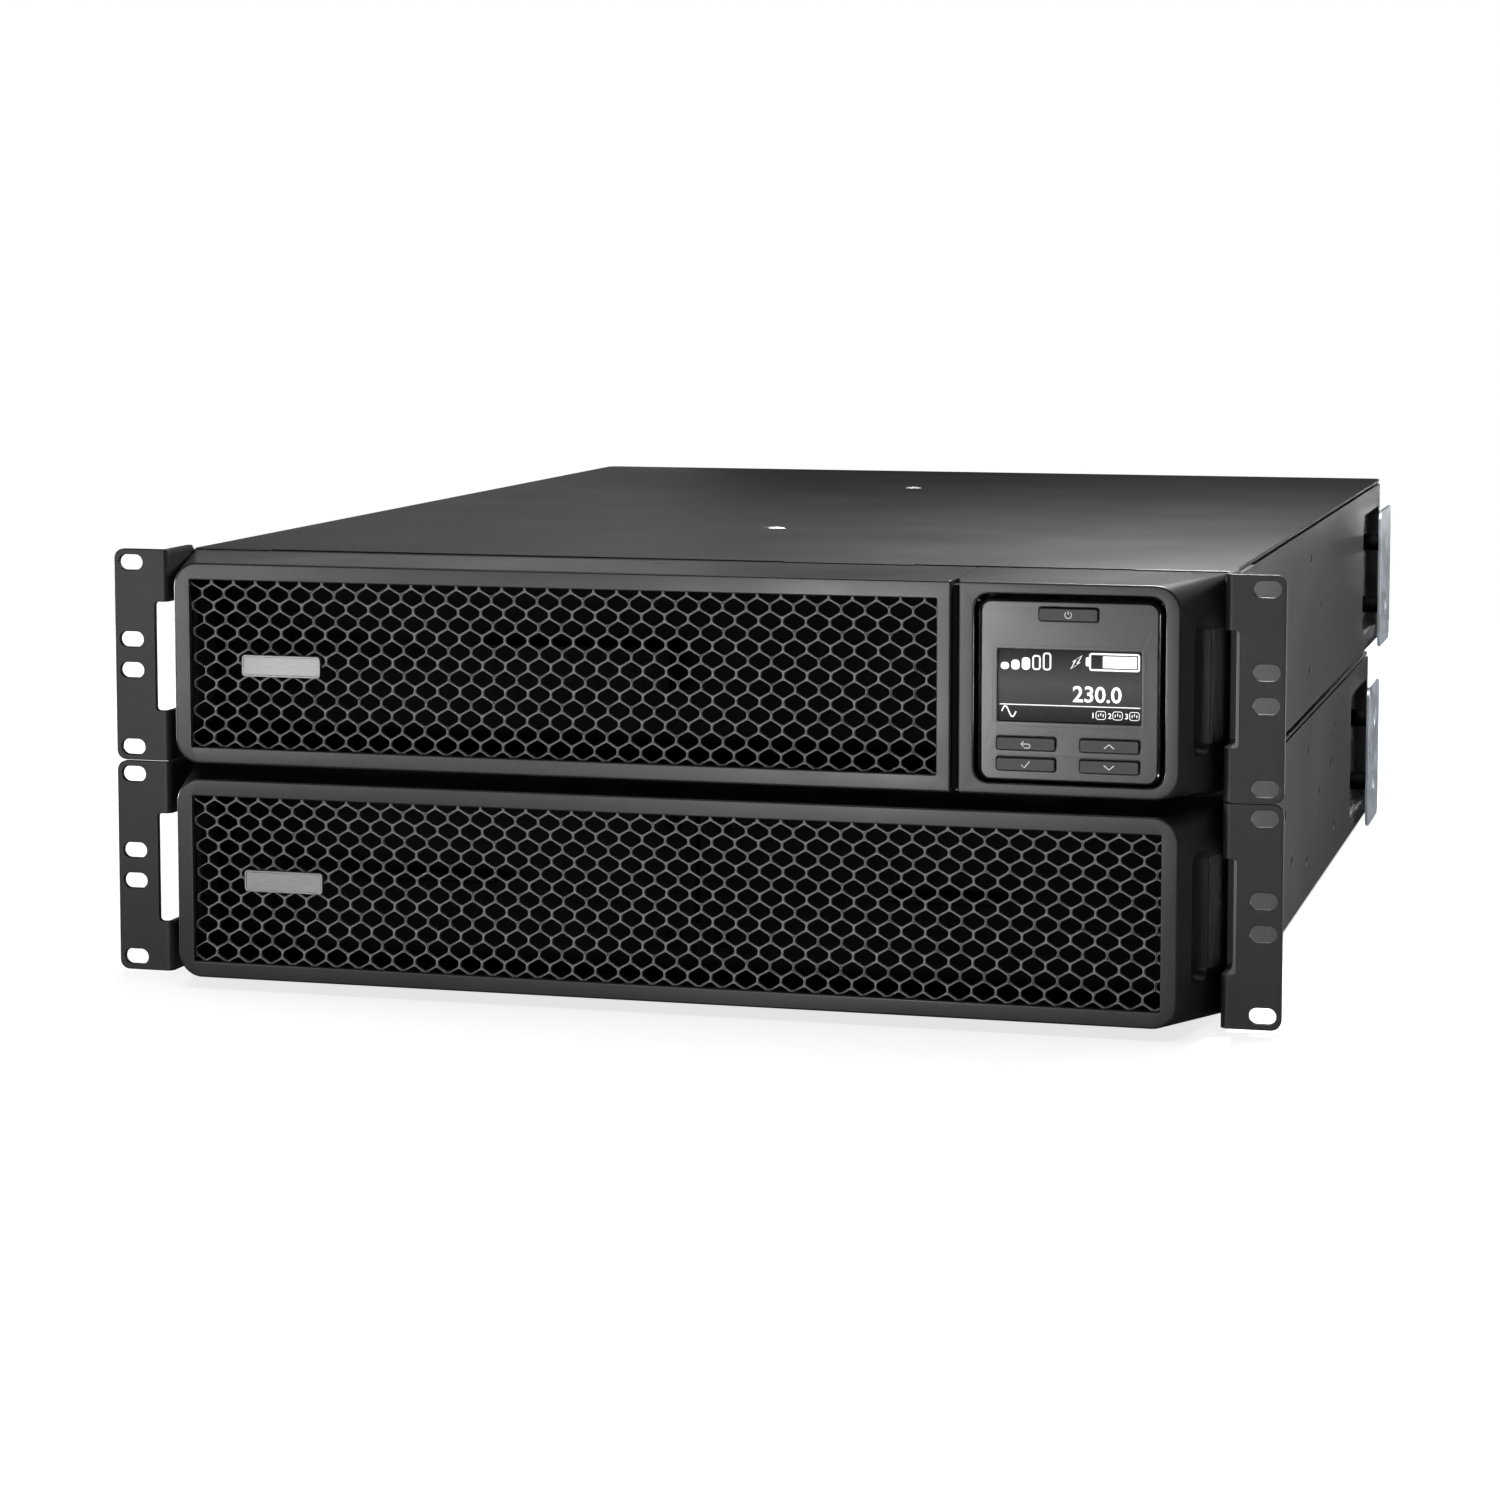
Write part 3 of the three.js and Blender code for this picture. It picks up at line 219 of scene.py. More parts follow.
def pebbled(name, colour, roughness, grain, depth, variation=0.25, edge_wear_and_sheen=0.0, spread=0.05, **more):
    """Paint or moulded plastic: fine grain, slow changes of tone, and lighter edges: rubbed paint and a
    painted highlight.
    """
    n = Nodes(name, roughness, **more)
    fine = n.noise(grain, detail=3.0, rough=0.6)
    slow = n.noise(0.012, detail=4.0, rough=0.55)
    tone = n.ramp(slow, (0.3, scaled(colour, 1 - variation)), (0.7, scaled(colour, 1 + variation)))
    speckle = n.ramp(fine, (0.35, 0.82), (0.68, 1.16))
    body = n.mix(1.0, tone, speckle, "MULTIPLY")
    rough = n.span(slow, 0.3, 0.7, roughness - spread, roughness + spread)
    # Convex edges are made lighter: partly rubbed paint, partly a painted highlight where edges would catch
    # the light.
    if edge_wear_and_sheen:
        edge = n.node("ShaderNodeNewGeometry").outputs["Pointiness"]
        worn_and_lit_edge = n.span(edge, 0.52, 0.60, 0.0, edge_wear_and_sheen)
        body = n.mix(worn_and_lit_edge, body, scaled(colour, 4.0))
    n.colour(body)
    n.roughness(rough)
    n.bump(fine, depth)
    return n.material


def brushed(name, colour, roughness, stretch, per_mm=8.0, depth=0.01, **more):
    """Metal with fine straight lines along one axis."""
    n = Nodes(name, roughness, metallic=1.0, **more)
    lines = n.noise(per_mm, detail=2.0, rough=0.6, stretch=stretch)
    slow = n.noise(0.03, detail=3.0)
    streaks = n.ramp(lines, (0.3, scaled(colour, 0.8)), (0.7, scaled(colour, 1.15)))
    stain = n.ramp(slow, (0.3, 0.88), (0.7, 1.0))
    n.colour(n.mix(1.0, streaks, stain, "MULTIPLY"))
    n.roughness(n.span(lines, 0.3, 0.7, roughness - 0.06, roughness + 0.08))
    n.bump(lines, depth)
    return n.material


def galvanised(name, colour):
    """Zinc coating: faint crystals of differing tone, soft stains and small scratches."""
    n = Nodes(name, 0.36, metallic=0.75)
    crystals = n.cells(0.16)
    slow = n.noise(0.04, detail=4.0)
    spangle = n.node("ShaderNodeSeparateColor")
    n.link(crystals.outputs["Color"], spangle.inputs[0])
    tone = n.ramp(spangle.outputs[0], (0.0, scaled(colour, 0.86)), (1.0, scaled(colour, 1.1)))
    stain = n.ramp(slow, (0.3, 0.82), (0.65, 1.0))
    scratch = n.ramp(n.noise(1.3, detail=1.0, stretch=(1, 0.06, 1)), (0.66, 1.0), (0.72, 1.25))
    n.colour(n.mix(1.0, n.mix(1.0, tone, stain, "MULTIPLY"), scratch, "MULTIPLY"))
    n.roughness(n.span(spangle.outputs[1], 0.0, 1.0, 0.28, 0.44))
    n.bump(n.noise(1.2, detail=2.0), 0.02)
    return n.material


def gloss(name, colour, roughness):
    """Polished plastic with a little ripple from the mould and the odd speck of dust."""
    n = Nodes(name, roughness, coat=1.0, coat_roughness=0.03)
    dust = n.ramp(n.noise(3.0, detail=2.0), (0.70, 0.0), (0.78, 1.0))
    n.colour(n.mix(dust, colour, scaled(colour, 5.0)))
    n.roughness(n.span(n.noise(0.4, detail=3.0), 0.3, 0.7, roughness, roughness + 0.08))
    n.bump(n.noise(0.15, detail=1.0), 0.02)
    return n.material


# The screen glows lighter across its middle: a painted highlight, not its own backlight.
SCREEN_SHEEN_STOPS = (  # height on the screen, then the grey of its glow
    (0.0, 0.002),
    (0.21, 0.028),
    (0.24, 0.058),
    (0.52, 0.088),
    (0.8, 0.034),
    (0.97, 0.002),
)
SCREEN_GLOW = 0.62


def lcd_material(low, high):
    """A dark screen that glows, lighter across its middle as a painted highlight, with a trace of its dot
    grid.
    """
    n = Nodes("lcd_screen", 0.4, specular=0.12)
    parts = n.node("ShaderNodeSeparateXYZ")
    n.link(n.place, parts.inputs[0])
    height = n.span(parts.outputs["Z"], low, high, 0.0, 1.0)
    # Painted highlight: the glow rises towards the middle of the screen's height.
    glow = n.ramp(height, *SCREEN_SHEEN_STOPS)
    grid = n.node("ShaderNodeTexChecker")
    grid.inputs["Scale"].default_value = 3.2 / MM
    n.link(n.place, grid.inputs["Vector"])
    dots = n.ramp(grid.outputs["Fac"], (0.0, 0.93), (1.0, 1.0))
    colour = n.mix(1.0, glow, dots, "MULTIPLY")
    n.colour(n.mix(1.0, colour, (0.35, 0.35, 0.35), "MULTIPLY"))
    n.glow(colour, SCREEN_GLOW)
    return n.material


def light_ink(name, colour, strength):
    """White marks that glow: lit segments on the screen, or the print on a key, whose glow is a painted
    highlight.
    """
    n = Nodes(name, 0.5)
    tone = n.ramp(n.noise(1.5, detail=2.0), (0.3, scaled(colour, 0.93)), (0.7, colour))
    n.colour(tone)
    n.glow(tone, strength)
    return n.material


def window_material():
    """Thin clear plastic: only a faint haze shows on it."""
    n = Nodes("clear_window", 0.3, ior=1.45)
    n.shader.inputs["Alpha"].default_value = 0.05
    n.colour(n.ramp(n.noise(0.2), (0.0, (0.020, 0.021, 0.022)), (1.0, (0.026, 0.027, 0.028))))
    n.roughness(n.span(n.noise(0.6, detail=3.0), 0.3, 0.8, 0.28, 0.33))
    return n.material


def board_material():
    """Solder mask with the ghost of copper tracks under it."""
    n = Nodes("circuit_board", 0.35, coat=0.4, coat_roughness=0.1)
    bricks = n.node("ShaderNodeTexBrick")
    bricks.inputs["Scale"].default_value = 0.12 / MM
    bricks.inputs["Mortar Size"].default_value = 0.03
    n.link(n.place, bricks.inputs["Vector"])
    tracks = n.ramp(bricks.outputs["Fac"], (0.0, (0.012, 0.075, 0.038)), (1.0, (0.03, 0.16, 0.08)))
    n.colour(n.mix(1.0, tracks, n.ramp(n.noise(0.8), (0.3, 0.8), (0.7, 1.1)), "MULTIPLY"))
    n.bump(bricks.outputs["Fac"], 0.04)
    return n.material


def winding_material():
    """Turns of lacquered wire lying side by side."""
    n = Nodes("winding", 0.32, metallic=0.8, coat=0.5, coat_roughness=0.15)
    turns = n.node("ShaderNodeTexWave", bands_direction="Y", wave_profile="SIN")
    turns.inputs["Scale"].default_value = 0.16 / MM
    turns.inputs["Distortion"].default_value = 0.4
    n.link(n.place, turns.inputs["Vector"])
    n.colour(n.ramp(turns.outputs["Fac"], (0.1, (0.16, 0.06, 0.025)), (0.8, (0.5, 0.24, 0.1))))
    n.bump(turns.outputs["Fac"], 0.25)
    return n.material


FLOOR_GLOW = 0.75


def floor_material():
    """A plain pale floor, bright enough to show nearly white."""
    n = Nodes("floor", 0.75, specular=0.15)
    n.colour(n.ramp(n.noise(0.004, detail=5.0), (0.3, 0.90), (0.7, 0.93)))
    n.roughness(n.span(n.noise(0.02, detail=3.0), 0.3, 0.7, 0.7, 0.85))
    n.glow((1.0, 1.0, 1.0), FLOOR_GLOW)
    return n.material


screen_low, screen_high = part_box("lcd_window")
MATERIALS = {
    "powder": pebbled("powder_coat", (0.0148, 0.0151, 0.0156), 0.42, 1.7, 0.026, 0.08, edge_wear_and_sheen=0.14,
                      specular=0.5, spread=0.03),
    # Near-black, far darker than the paint: painted shade on the doors behind the grilles, their screws,
    # the brackets' posts and the strip in the bezels' split.
    "inner_steel": pebbled("inner_steel", (0.0012, 0.0012, 0.0013), 0.7, 1.7, 0.022, 0.06,
                           specular=0.12),
    "bezel": pebbled("bezel_plastic", (0.030, 0.0304, 0.0312), 0.32, 2.6, 0.018, 0.06, edge_wear_and_sheen=0.03),
    "grille": pebbled("grille_plastic", (0.150, 0.151, 0.154), 0.34, 2.6, 0.010, 0.05, edge_wear_and_sheen=0.1),
    "gloss": gloss("gloss_black", (0.0035, 0.0035, 0.004), 0.10),
    "faceplate": pebbled("faceplate_plastic", (0.044, 0.0445, 0.046), 0.24, 3.2, 0.008, 0.05, edge_wear_and_sheen=0.1),
    "key": pebbled("key_plastic", (0.040, 0.0405, 0.042), 0.42, 3.2, 0.010, 0.05, edge_wear_and_sheen=0.1),
    "ink": light_ink("white_ink", (0.85, 0.86, 0.88), 1.0),
    # The keys' print glows a little: a painted highlight.
    "key_ink": light_ink("key_ink", (0.62, 0.63, 0.65), 0.12),
    "screen": lcd_material(screen_low.z, screen_high.z),
    "window": window_material(),
    "badge": brushed("badge_metal", (0.36, 0.36, 0.37), 0.40, (0.03, 1, 1), per_mm=7.0),
    "zinc": galvanised("galvanised", (0.50, 0.55, 0.60)),
    "aluminium": brushed("aluminium", (0.66, 0.67, 0.68), 0.34, (1, 0.04, 1), per_mm=3.0),
    "plated": pebbled("plated_steel", (0.60, 0.61, 0.63), 0.38, 2.4, 0.008, 0.06, metallic=0.35),
    "screw": brushed("screw_steel", (0.62, 0.62, 0.63), 0.25, (1, 1, 1), per_mm=6.0),
    "board": board_material(),
    "winding": winding_material(),
    "socket": pebbled("socket_plastic", (0.012, 0.012, 0.013), 0.45, 2.0, 0.012, 0.1, edge_wear_and_sheen=0.1),
    "connector": pebbled("connector_grey", (0.15, 0.152, 0.158), 0.45, 2.0, 0.012, 0.08, edge_wear_and_sheen=0.1),
    "battery": pebbled("battery_case", (0.017, 0.017, 0.018), 0.55, 1.2, 0.03, 0.12, edge_wear_and_sheen=0.1),
    "fan": pebbled("fan_plastic", (0.013, 0.013, 0.014), 0.5, 2.0, 0.012, 0.1, edge_wear_and_sheen=0.1),
    "white": pebbled("white_plastic", (0.62, 0.62, 0.6), 0.42, 2.0, 0.010, 0.05),
    "contact": brushed("contact_metal", (0.62, 0.6, 0.55), 0.3, (1, 0.1, 1), per_mm=4.0),
    # Near-black: in the wells and backings it is the plastic's own black, darkened as painted shade; on the
    # cover's lips, seam strips and screw seats it is painted shade.
    "inside": pebbled("socket_inside", (0.006, 0.006, 0.006), 0.6, 2.0, 0.01, 0.1),
}


# ---------- shapes ----------

class Shape:
    """Points and faces of one closed surface or several."""

    def __init__(self, points=(), faces=()):
        self.points = [tuple(p) for p in points]
        self.faces = [tuple(f) for f in faces]

    def join(self, *others):
        for other in others:
            first = len(self.points)
            self.points += other.points
            self.faces += [tuple(i + first for i in face) for face in other.faces]
        return self

    def mapped(self, place):
        return Shape([place(*p) for p in self.points], self.faces)

    def moved(self, x=0.0, y=0.0, z=0.0):
        return self.mapped(lambda a, b, c: (a + x, b + y, c + z))

    def on_side(self, side):
        """Itself, or its mirror image in the x = 0 plane."""
        return self if side > 0 else self.mapped(lambda x, y, z: (-x, y, z))


def rounded(x0, x1, z0, z1, radius, steps=8):
    """An anticlockwise rectangle with arcs at its corners: right-top, left-top, left-low, right-low."""
    radii = radius if isinstance(radius, tuple) else (radius,) * 4
    signs = ((1, 1), (-1, 1), (-1, -1), (1, -1))
    points = []
    for quarter, ((sx, sz), r) in enumerate(zip(signs, radii)):
        cx = (x1 if sx > 0 else x0) - sx * r
        cz = (z1 if sz > 0 else z0) - sz * r
        for step in range(steps + 1):
            angle = (quarter + step / steps) * QUARTER
            points.append((cx + r * math.cos(angle), cz + r * math.sin(angle)))
    return points


def circle(x, z, radius, steps=32):
    return [
        (x + radius * math.cos(2 * math.pi * i / steps), z + radius * math.sin(2 * math.pi * i / steps))
        for i in range(steps)
    ]


def inset(points, distance):
    """Moves each side of an outline to its left by the same distance."""
    moved = []
    count = len(points)
    for i, (x, z) in enumerate(points):
        before = Vector((x - points[i - 1][0], z - points[i - 1][1])).normalized()
        after = Vector((points[(i + 1) % count][0] - x, points[(i + 1) % count][1] - z)).normalized()
        left = Vector((-before.y - after.y, before.x + after.x))
        share = max(1 + before.dot(after), 0.35)
        moved.append((x + distance * left.x / share, z + distance * left.y / share))
    return moved


def rim_steps(depth, steps):
    """(inset, depth) pairs of a quarter-round edge from the face to the side."""
    return [
        (depth * (1 - math.sin(QUARTER * i / steps)), depth * (1 - math.cos(QUARTER * i / steps)))
        for i in range(steps + 1)
    ]


def bridge(faces, first, second, count):
    for i in range(count):
        j = (i + 1) % count
        faces.append((first + i, first + j, second + j, second + i))


def plate(outline, holes=(), low=0.0, high=1.0, edge=0.3, steps=3, back_edge=None):
    """A flat plate in (u, v) from t = low to t = high, with rounded edges and any number of holes."""
    loops = [list(outline)] + [list(reversed(hole)) for hole in holes]
    back_edge = edge if back_edge is None else back_edge
    profile = [(d, high - t) for d, t in rim_steps(edge, steps)]
    profile += [(d, low + t) for d, t in reversed(rim_steps(back_edge, steps))]
    shape = Shape()
    top, bottom = [], []
    for loop in loops:
        starts = []
        for distance, t in profile:
            starts.append(len(shape.points))
            ring = inset(loop, distance) if distance > 1e-9 else loop
            shape.points += [(u, v, t) for u, v in ring]
        for upper, lower in zip(starts, starts[1:]):
            bridge(shape.faces, lower, upper, len(loop))
        top.append((starts[0], len(loop)))
        bottom.append((starts[-1], len(loop)))
    for rings, flipped in ((top, False), (bottom, True)):
        polygons = [[Vector(shape.points[start + i]) for i in range(count)] for start, count in rings]
        index = [start + i for start, count in rings for i in range(count)]
        for triangle in tessellate_polygon(polygons):
            face = [index[i] for i in triangle]
            shape.faces.append(tuple(reversed(face)) if flipped else tuple(face))
    return shape


def facing_front(shape):
    """Turns (u, v, t) into (x, -t, z): t grows towards the viewer in front."""
    return shape.mapped(lambda u, v, t: (u, -t, v))


def facing_side(shape):
    """Turns (u, v, t) into (t, u, v): t grows to the right."""
    return shape.mapped(lambda u, v, t: (t, u, v))


def front_plate(outline, holes, y_front, y_back, edge=0.3, steps=3, back_edge=None):
    return facing_front(plate(outline, holes, -y_back, -y_front, edge, steps, back_edge))


def loft(rings, cap_first=False, cap_last=False, closed=False):
    """Joins rings of equal length, in order; rings are lists of (x, y, z)."""
    count = len(rings[0])
    shape = Shape([p for ring in rings for p in ring])
    last = len(rings) if closed else len(rings) - 1
    for i in range(last):
        bridge(shape.faces, i * count, (i + 1) % len(rings) * count, count)
    if cap_first:
        shape.faces.append(tuple(reversed(range(count))))
    if cap_last:
        first = (len(rings) - 1) * count
        shape.faces.append(tuple(range(first, first + count)))
    return shape


def rounded_at(x, z, wide, tall, radius, steps=8):
    """A rounded rectangle about its middle."""
    return rounded(x - wide / 2, x + wide / 2, z - tall / 2, z + tall / 2, radius, steps)


def turned_rings(profile, steps, x=0.0, y=0.0):
    """(radius, height) pairs as circles about an upright axis."""
    return [[(u, v, h) for u, v in circle(x, y, r, steps)] for r, h in profile]


def lathe(profile, steps=32):
    """Turns (radius, height) pairs about z. A radius of 0 closes the surface on the axis."""
    rings = turned_rings([(r, h) for r, h in profile if r > 0], steps)
    shape = loft(rings)
    for end, flipped in ((0, True), (len(rings) - 1, False)):
        first = end * steps
        tip = profile[0] if end == 0 else profile[-1]
        shape.points.append((0.0, 0.0, tip[1]))
        centre = len(shape.points) - 1
        for i in range(steps):
            j = (i + 1) % steps
            face = (first + i, first + j, centre)
            shape.faces.append(tuple(reversed(face)) if flipped else face)
    return shape


def pointing(shape, direction):
    """Turns a shape built along +z to point along an axis such as '-y' or '+x'."""
    sign = 1 if direction[0] == "+" else -1
    if direction[1] == "x":
        return shape.mapped(lambda x, y, z: (sign * z, sign * x, y))
    if direction[1] == "y":
        return shape.mapped(lambda x, y, z: (sign * -x, sign * z, y))
    return shape.mapped(lambda x, y, z: (sign * x, y, sign * z))


def box(x0, x1, y0, y1, z0, z1, edge=0.3):
    """A block with rounded edges."""
    outline = rounded(x0, x1, z0, z1, min(edge, (x1 - x0) / 2.1, (z1 - z0) / 2.1), 3)
    return front_plate(outline, (), y0, y1, min(edge, (y1 - y0) / 2.1))


def stroke(points, width):
    """The outline of a line drawn with a pen of that width."""
    half = width / 2
    left, right = [], []
    for i, (x, z) in enumerate(points):
        back = points[max(i - 1, 0)]
        ahead = points[min(i + 1, len(points) - 1)]
        along = Vector((ahead[0] - back[0], ahead[1] - back[1])).normalized()
        left.append((x - half * along.y, z + half * along.x))
        right.append((x + half * along.y, z - half * along.x))
    return right + left[::-1]


# ---------- pieces ----------

def to_bmesh(shape):
    bm = bmesh.new()
    verts = [bm.verts.new(p) for p in shape.points]
    for face in shape.faces:
        if len(set(face)) == len(face):
            try:
                bm.faces.new([verts[i] for i in face])
            except ValueError:
                continue
    bmesh.ops.remove_doubles(bm, verts=bm.verts, dist=0.0005)
    bmesh.ops.dissolve_degenerate(bm, edges=bm.edges, dist=0.0004)
    bmesh.ops.recalc_face_normals(bm, faces=bm.faces)
    return bm


def linked_object(name, bm):
    """A scene object that takes over a bmesh."""
    obj = bpy.data.objects.new(name, bpy.data.meshes.new(name))
    bm.to_mesh(obj.data)
    bm.free()
    bpy.context.scene.collection.objects.link(obj)
    return obj


def combined(bm, shapes, operation):
    """A bmesh with closed shapes joined to it ("UNION") or cut from it ("DIFFERENCE")."""
    body = linked_object("body", bm)
    tools = [linked_object("tool", to_bmesh(shape)) for shape in shapes]
    for tool in tools:
        modifier = body.modifiers.new("combine", "BOOLEAN")
        modifier.operation = operation
        modifier.solver = "EXACT"
        modifier.object = tool
    bpy.context.view_layer.update()
    result = bmesh.new()
    result.from_mesh(body.evaluated_get(bpy.context.evaluated_depsgraph_get()).to_mesh())
    for obj in (body, *tools):
        data = obj.data
        bpy.data.objects.remove(obj)
        bpy.data.meshes.remove(data)
    return result


def cut(bm, cutters):
    result = combined(bm, cutters, "DIFFERENCE")
    bmesh.ops.remove_doubles(result, verts=result.verts, dist=0.0005)
    return result


def piece(name, shape, unit, material, body, replaced=(), sharp=38, weighted=True,
          cutters=()):
    """Makes one visible piece from a shape in millimetres in a unit's own frame."""
    bm = to_bmesh(shape) if isinstance(shape, Shape) else shape
    if cutters:
        bm = cut(bm, cutters)
    origin = ORIGINS[unit]
    bmesh.ops.transform(bm, matrix=Matrix.Translation(origin) @ Matrix.Scale(MM, 4), verts=bm.verts)
    obj = linked_object(name, bm)
    mesh = obj.data
    for face in mesh.polygons:
        face.use_smooth = True
    mesh.set_sharp_from_angle(angle=math.radians(sharp))
    mesh.materials.append(MATERIALS[material])
    if weighted:
        modifier = obj.modifiers.new("weighted", "WEIGHTED_NORMAL")
        modifier.keep_sharp = True
    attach(obj, body)
    if replaced:
        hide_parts(*replaced)


def keep(node, material, bevel):
    """A CAD node that stays: it gets its finish, and its edges are rounded as they are shown."""
    obj = frame["nodes"][node]
    obj.data.materials.clear()
    obj.data.materials.append(MATERIALS[material])
    modifier = obj.modifiers.new("edges", "BEVEL")
    modifier.width = bevel * MM
    modifier.segments = 2
    modifier.limit_method = "ANGLE"
    modifier.angle_limit = math.radians(40)
    modifier.harden_normals = False


# ---------- screws ----------

def dome(radius, height, steps=6):
    angles = [QUARTER * i / steps for i in range(steps + 1)]
    return [(radius * math.cos(a), height * math.sin(a)) for a in angles]


def cross_cut(radius, depth, top):
    """The recess of a cross-head screw, as a closed shape."""
    arm = radius * 0.13
    reach = radius * 0.55
    outline = []
    for quarter in range(4):
        angle = quarter * QUARTER
        c, s = math.cos(angle), math.sin(angle)
        for u, v in ((arm * 1.6, -arm), (reach, -arm), (reach, arm), (arm * 1.6, arm)):
            outline.append((u * c - v * s, u * s + v * c))
    low = [(u * 0.45, v * 0.45, top - depth) for u, v in outline]
    high = [(u, v, top + 0.4) for u, v in outline]
    return loft([low, high], cap_first=True, cap_last=True)


SCREW_CACHE = {}


def screw(radius, height):
    """A cross-head screw with a domed head standing on z = 0."""
    key = (radius, height)
    if key not in SCREW_CACHE:
        profile = [(0, -0.4), (radius, -0.4), (radius, 0.15 * height)]
        profile += [(r, 0.25 * height + 0.75 * h) for r, h in dome(radius, height)]
        head = cut(to_bmesh(lathe(profile, 28)), [cross_cut(radius, height * 0.8, height)])
        points = [v.co[:] for v in head.verts]
        head.verts.index_update()
        SCREW_CACHE[key] = Shape(points, [[v.index for v in f.verts] for f in head.faces])
        head.free()
    return SCREW_CACHE[key]


def screws(name, places, direction, unit, body, radius, height, material="screw"):
    """Identical screws at (x, y, z) places, all pointing one way."""
    group = Shape()
    for x, y, z in places:
        group.join(pointing(screw(radius, height), direction).moved(x, y, z))
    piece(name, group, unit, material, body, sharp=30, weighted=False)


# ---------- bezels ----------

FACE_Y = -23.4
BACK_Y = 27.0
WALL = 2.5
FACE_BACK_Y = FACE_Y + WALL
FACE_LOW, FACE_HIGH = 4.5, 85.5
REAR_LOW, REAR_HIGH = 2.2, 86.6
FACE_HALF, REAR_HALF = 203.2, 215.5
FACE_RADIUS, REAR_RADIUS = 10.0, 0.8
GRILLE_LEFT, UPS_GRILLE_RIGHT = -196.7, 109.9
GRILLE_LOW, GRILLE_HIGH = 10.95, 78.65
SPLIT_LEFT, SPLIT_RIGHT, SPLIT_SHOULDER = 115.5, 118.4, 115.8
SPLIT_DEPTH = 8.0
CORNER_STEPS = 12


def blend_value(y, front, back):
    return front + (back - front) * (y - FACE_Y) / (BACK_Y - FACE_Y)


def bezel_ring(y, inward, left, right):
    """The bezel's outline at y. left and right are straight split edges, or None for its own ends."""
    half = blend_value(y, FACE_HALF, REAR_HALF) - inward
    low = blend_value(y, FACE_LOW, REAR_LOW) + inward
    high = blend_value(y, FACE_HIGH, REAR_HIGH) - inward
    radius = max(blend_value(y, FACE_RADIUS, REAR_RADIUS) - inward, 0.4)
    x0 = -half if left is None else left + inward
    x1 = half if right is None else right - inward
    at_left = radius if left is None else 0.4
    at_right = radius if right is None else 0.4
    ring = rounded(x0, x1, low, high, (at_right, at_left, at_left, at_right), CORNER_STEPS)
    return [(x, y, z) for x, z in ring]


def bezel_shell(aperture, left=None, right=None, shoulder=None):
    """A hollow bezel, open behind, with one aperture in its face."""
    def flat(y, grow=0.0):
        x0, x1, z0, z1, r = aperture
        ring = rounded(x0 - grow, x1 + grow, z0 - grow, z1 + grow, r + grow, CORNER_STEPS)
        return [(x, y, z) for x, z in ring]

    rings = [flat(FACE_BACK_Y), flat(FACE_Y + 0.5), flat(FACE_Y + 0.15, 0.12), flat(FACE_Y, 0.5)]
    rings += [bezel_ring(FACE_Y + t, d, left, right) for d, t in rim_steps(0.8, 4)]
    if shoulder is not None:
        rings.append(bezel_ring(FACE_Y + SPLIT_DEPTH, 0, left, right))
        left = shoulder
        rings.append(bezel_ring(FACE_Y + SPLIT_DEPTH + 0.01, 0, left, right))
    rings += [bezel_ring(BACK_Y - 0.4, 0, left, right), bezel_ring(BACK_Y, 0.35, left, right)]
    inner_left = None if left is None else SPLIT_RIGHT
    rings += [bezel_ring(BACK_Y, WALL, inner_left, right), bezel_ring(FACE_BACK_Y, WALL, inner_left, right)]
    return loft(rings, closed=True)


GRIP_RINGS = [  # x, then how far the outline lies inside the pocket's mouth
    (200.5, 5.6),
    (200.9, 4.0),
    (202.4, 2.2),
    (204.6, 0.9),
    (207.5, 0.2),
    (222.0, 0.0),
]


def grip_pocket(side):
    rings = []
    for x, inward in GRIP_RINGS:
        outline = rounded(-10 + inward * 0.5, 6 - inward * 0.5, 18.1 + inward, 70.8 - inward, 5.2, 8)
        rings.append([(x, y, z) for y, z in outline])
    return loft(rings, cap_first=True, cap_last=True).on_side(side)


def grip_cup(side):
    """The wall behind the pocket, reaching into the bezel's own wall."""
    rings = [
        [(198.6 + step, y, z) for y, z in rounded(-12 + d, 8 - d, 16.2 + d, 72.7 - d, 6, 6)]
        for step, d in ((0.0, 1.2), (1.2, 0.0))
    ]
    rings.append([(blend_value(y, FACE_HALF, REAR_HALF) - 1.2, y, z) for x, y, z in rings[-1]])
    return loft(rings, cap_first=True, cap_last=True).on_side(side)


def window_light_strip(side):
    """A thin, lighter strip on the bezel's end behind the ear's hand window: painted light where light
    through the window falls.
    """
    strip = box(-0.6, 0.35, 7.2, 26.6, 22.6, 66.4, 0.2)
    tilted = strip.mapped(lambda x, y, z: (x + blend_value(y, FACE_HALF, REAR_HALF), y, z))
    return tilted.on_side(side)


def add_bezel(name, aperture, unit, body, sides, tongues=(), clips=(), **split):
    """tongues are the stretches of the rear top edge that reach the cover; clips are slots near it."""
    shell = to_bmesh(bezel_shell(aperture, **split))
    solids = [grip_cup(side) for side in sides]
    solids += [box(x0, x1, BACK_Y - 1.6, BACK_Y + 0.26, 84.9, REAR_HIGH + 0.4, 0.1) for x0, x1 in tongues]
    for solid in solids:
        shell = combined(shell, [solid], "UNION")
    pockets = [grip_pocket(side) for side in sides]
    pockets += [box(x - 2.6, x + 2.6, y - 0.45, y + 0.45, 85.0, 88.0, 0.1) for x, y in clips]
    piece(name + "_shell", shell, unit, "bezel", body, (name,), sharp=28, cutters=pockets)
    # Lighter strips behind the hand windows: painted light.
    light_strips = Shape().join(*[window_light_strip(side) for side in sides])
    piece(name + "_catch_plates", light_strips, unit, "faceplate", body)


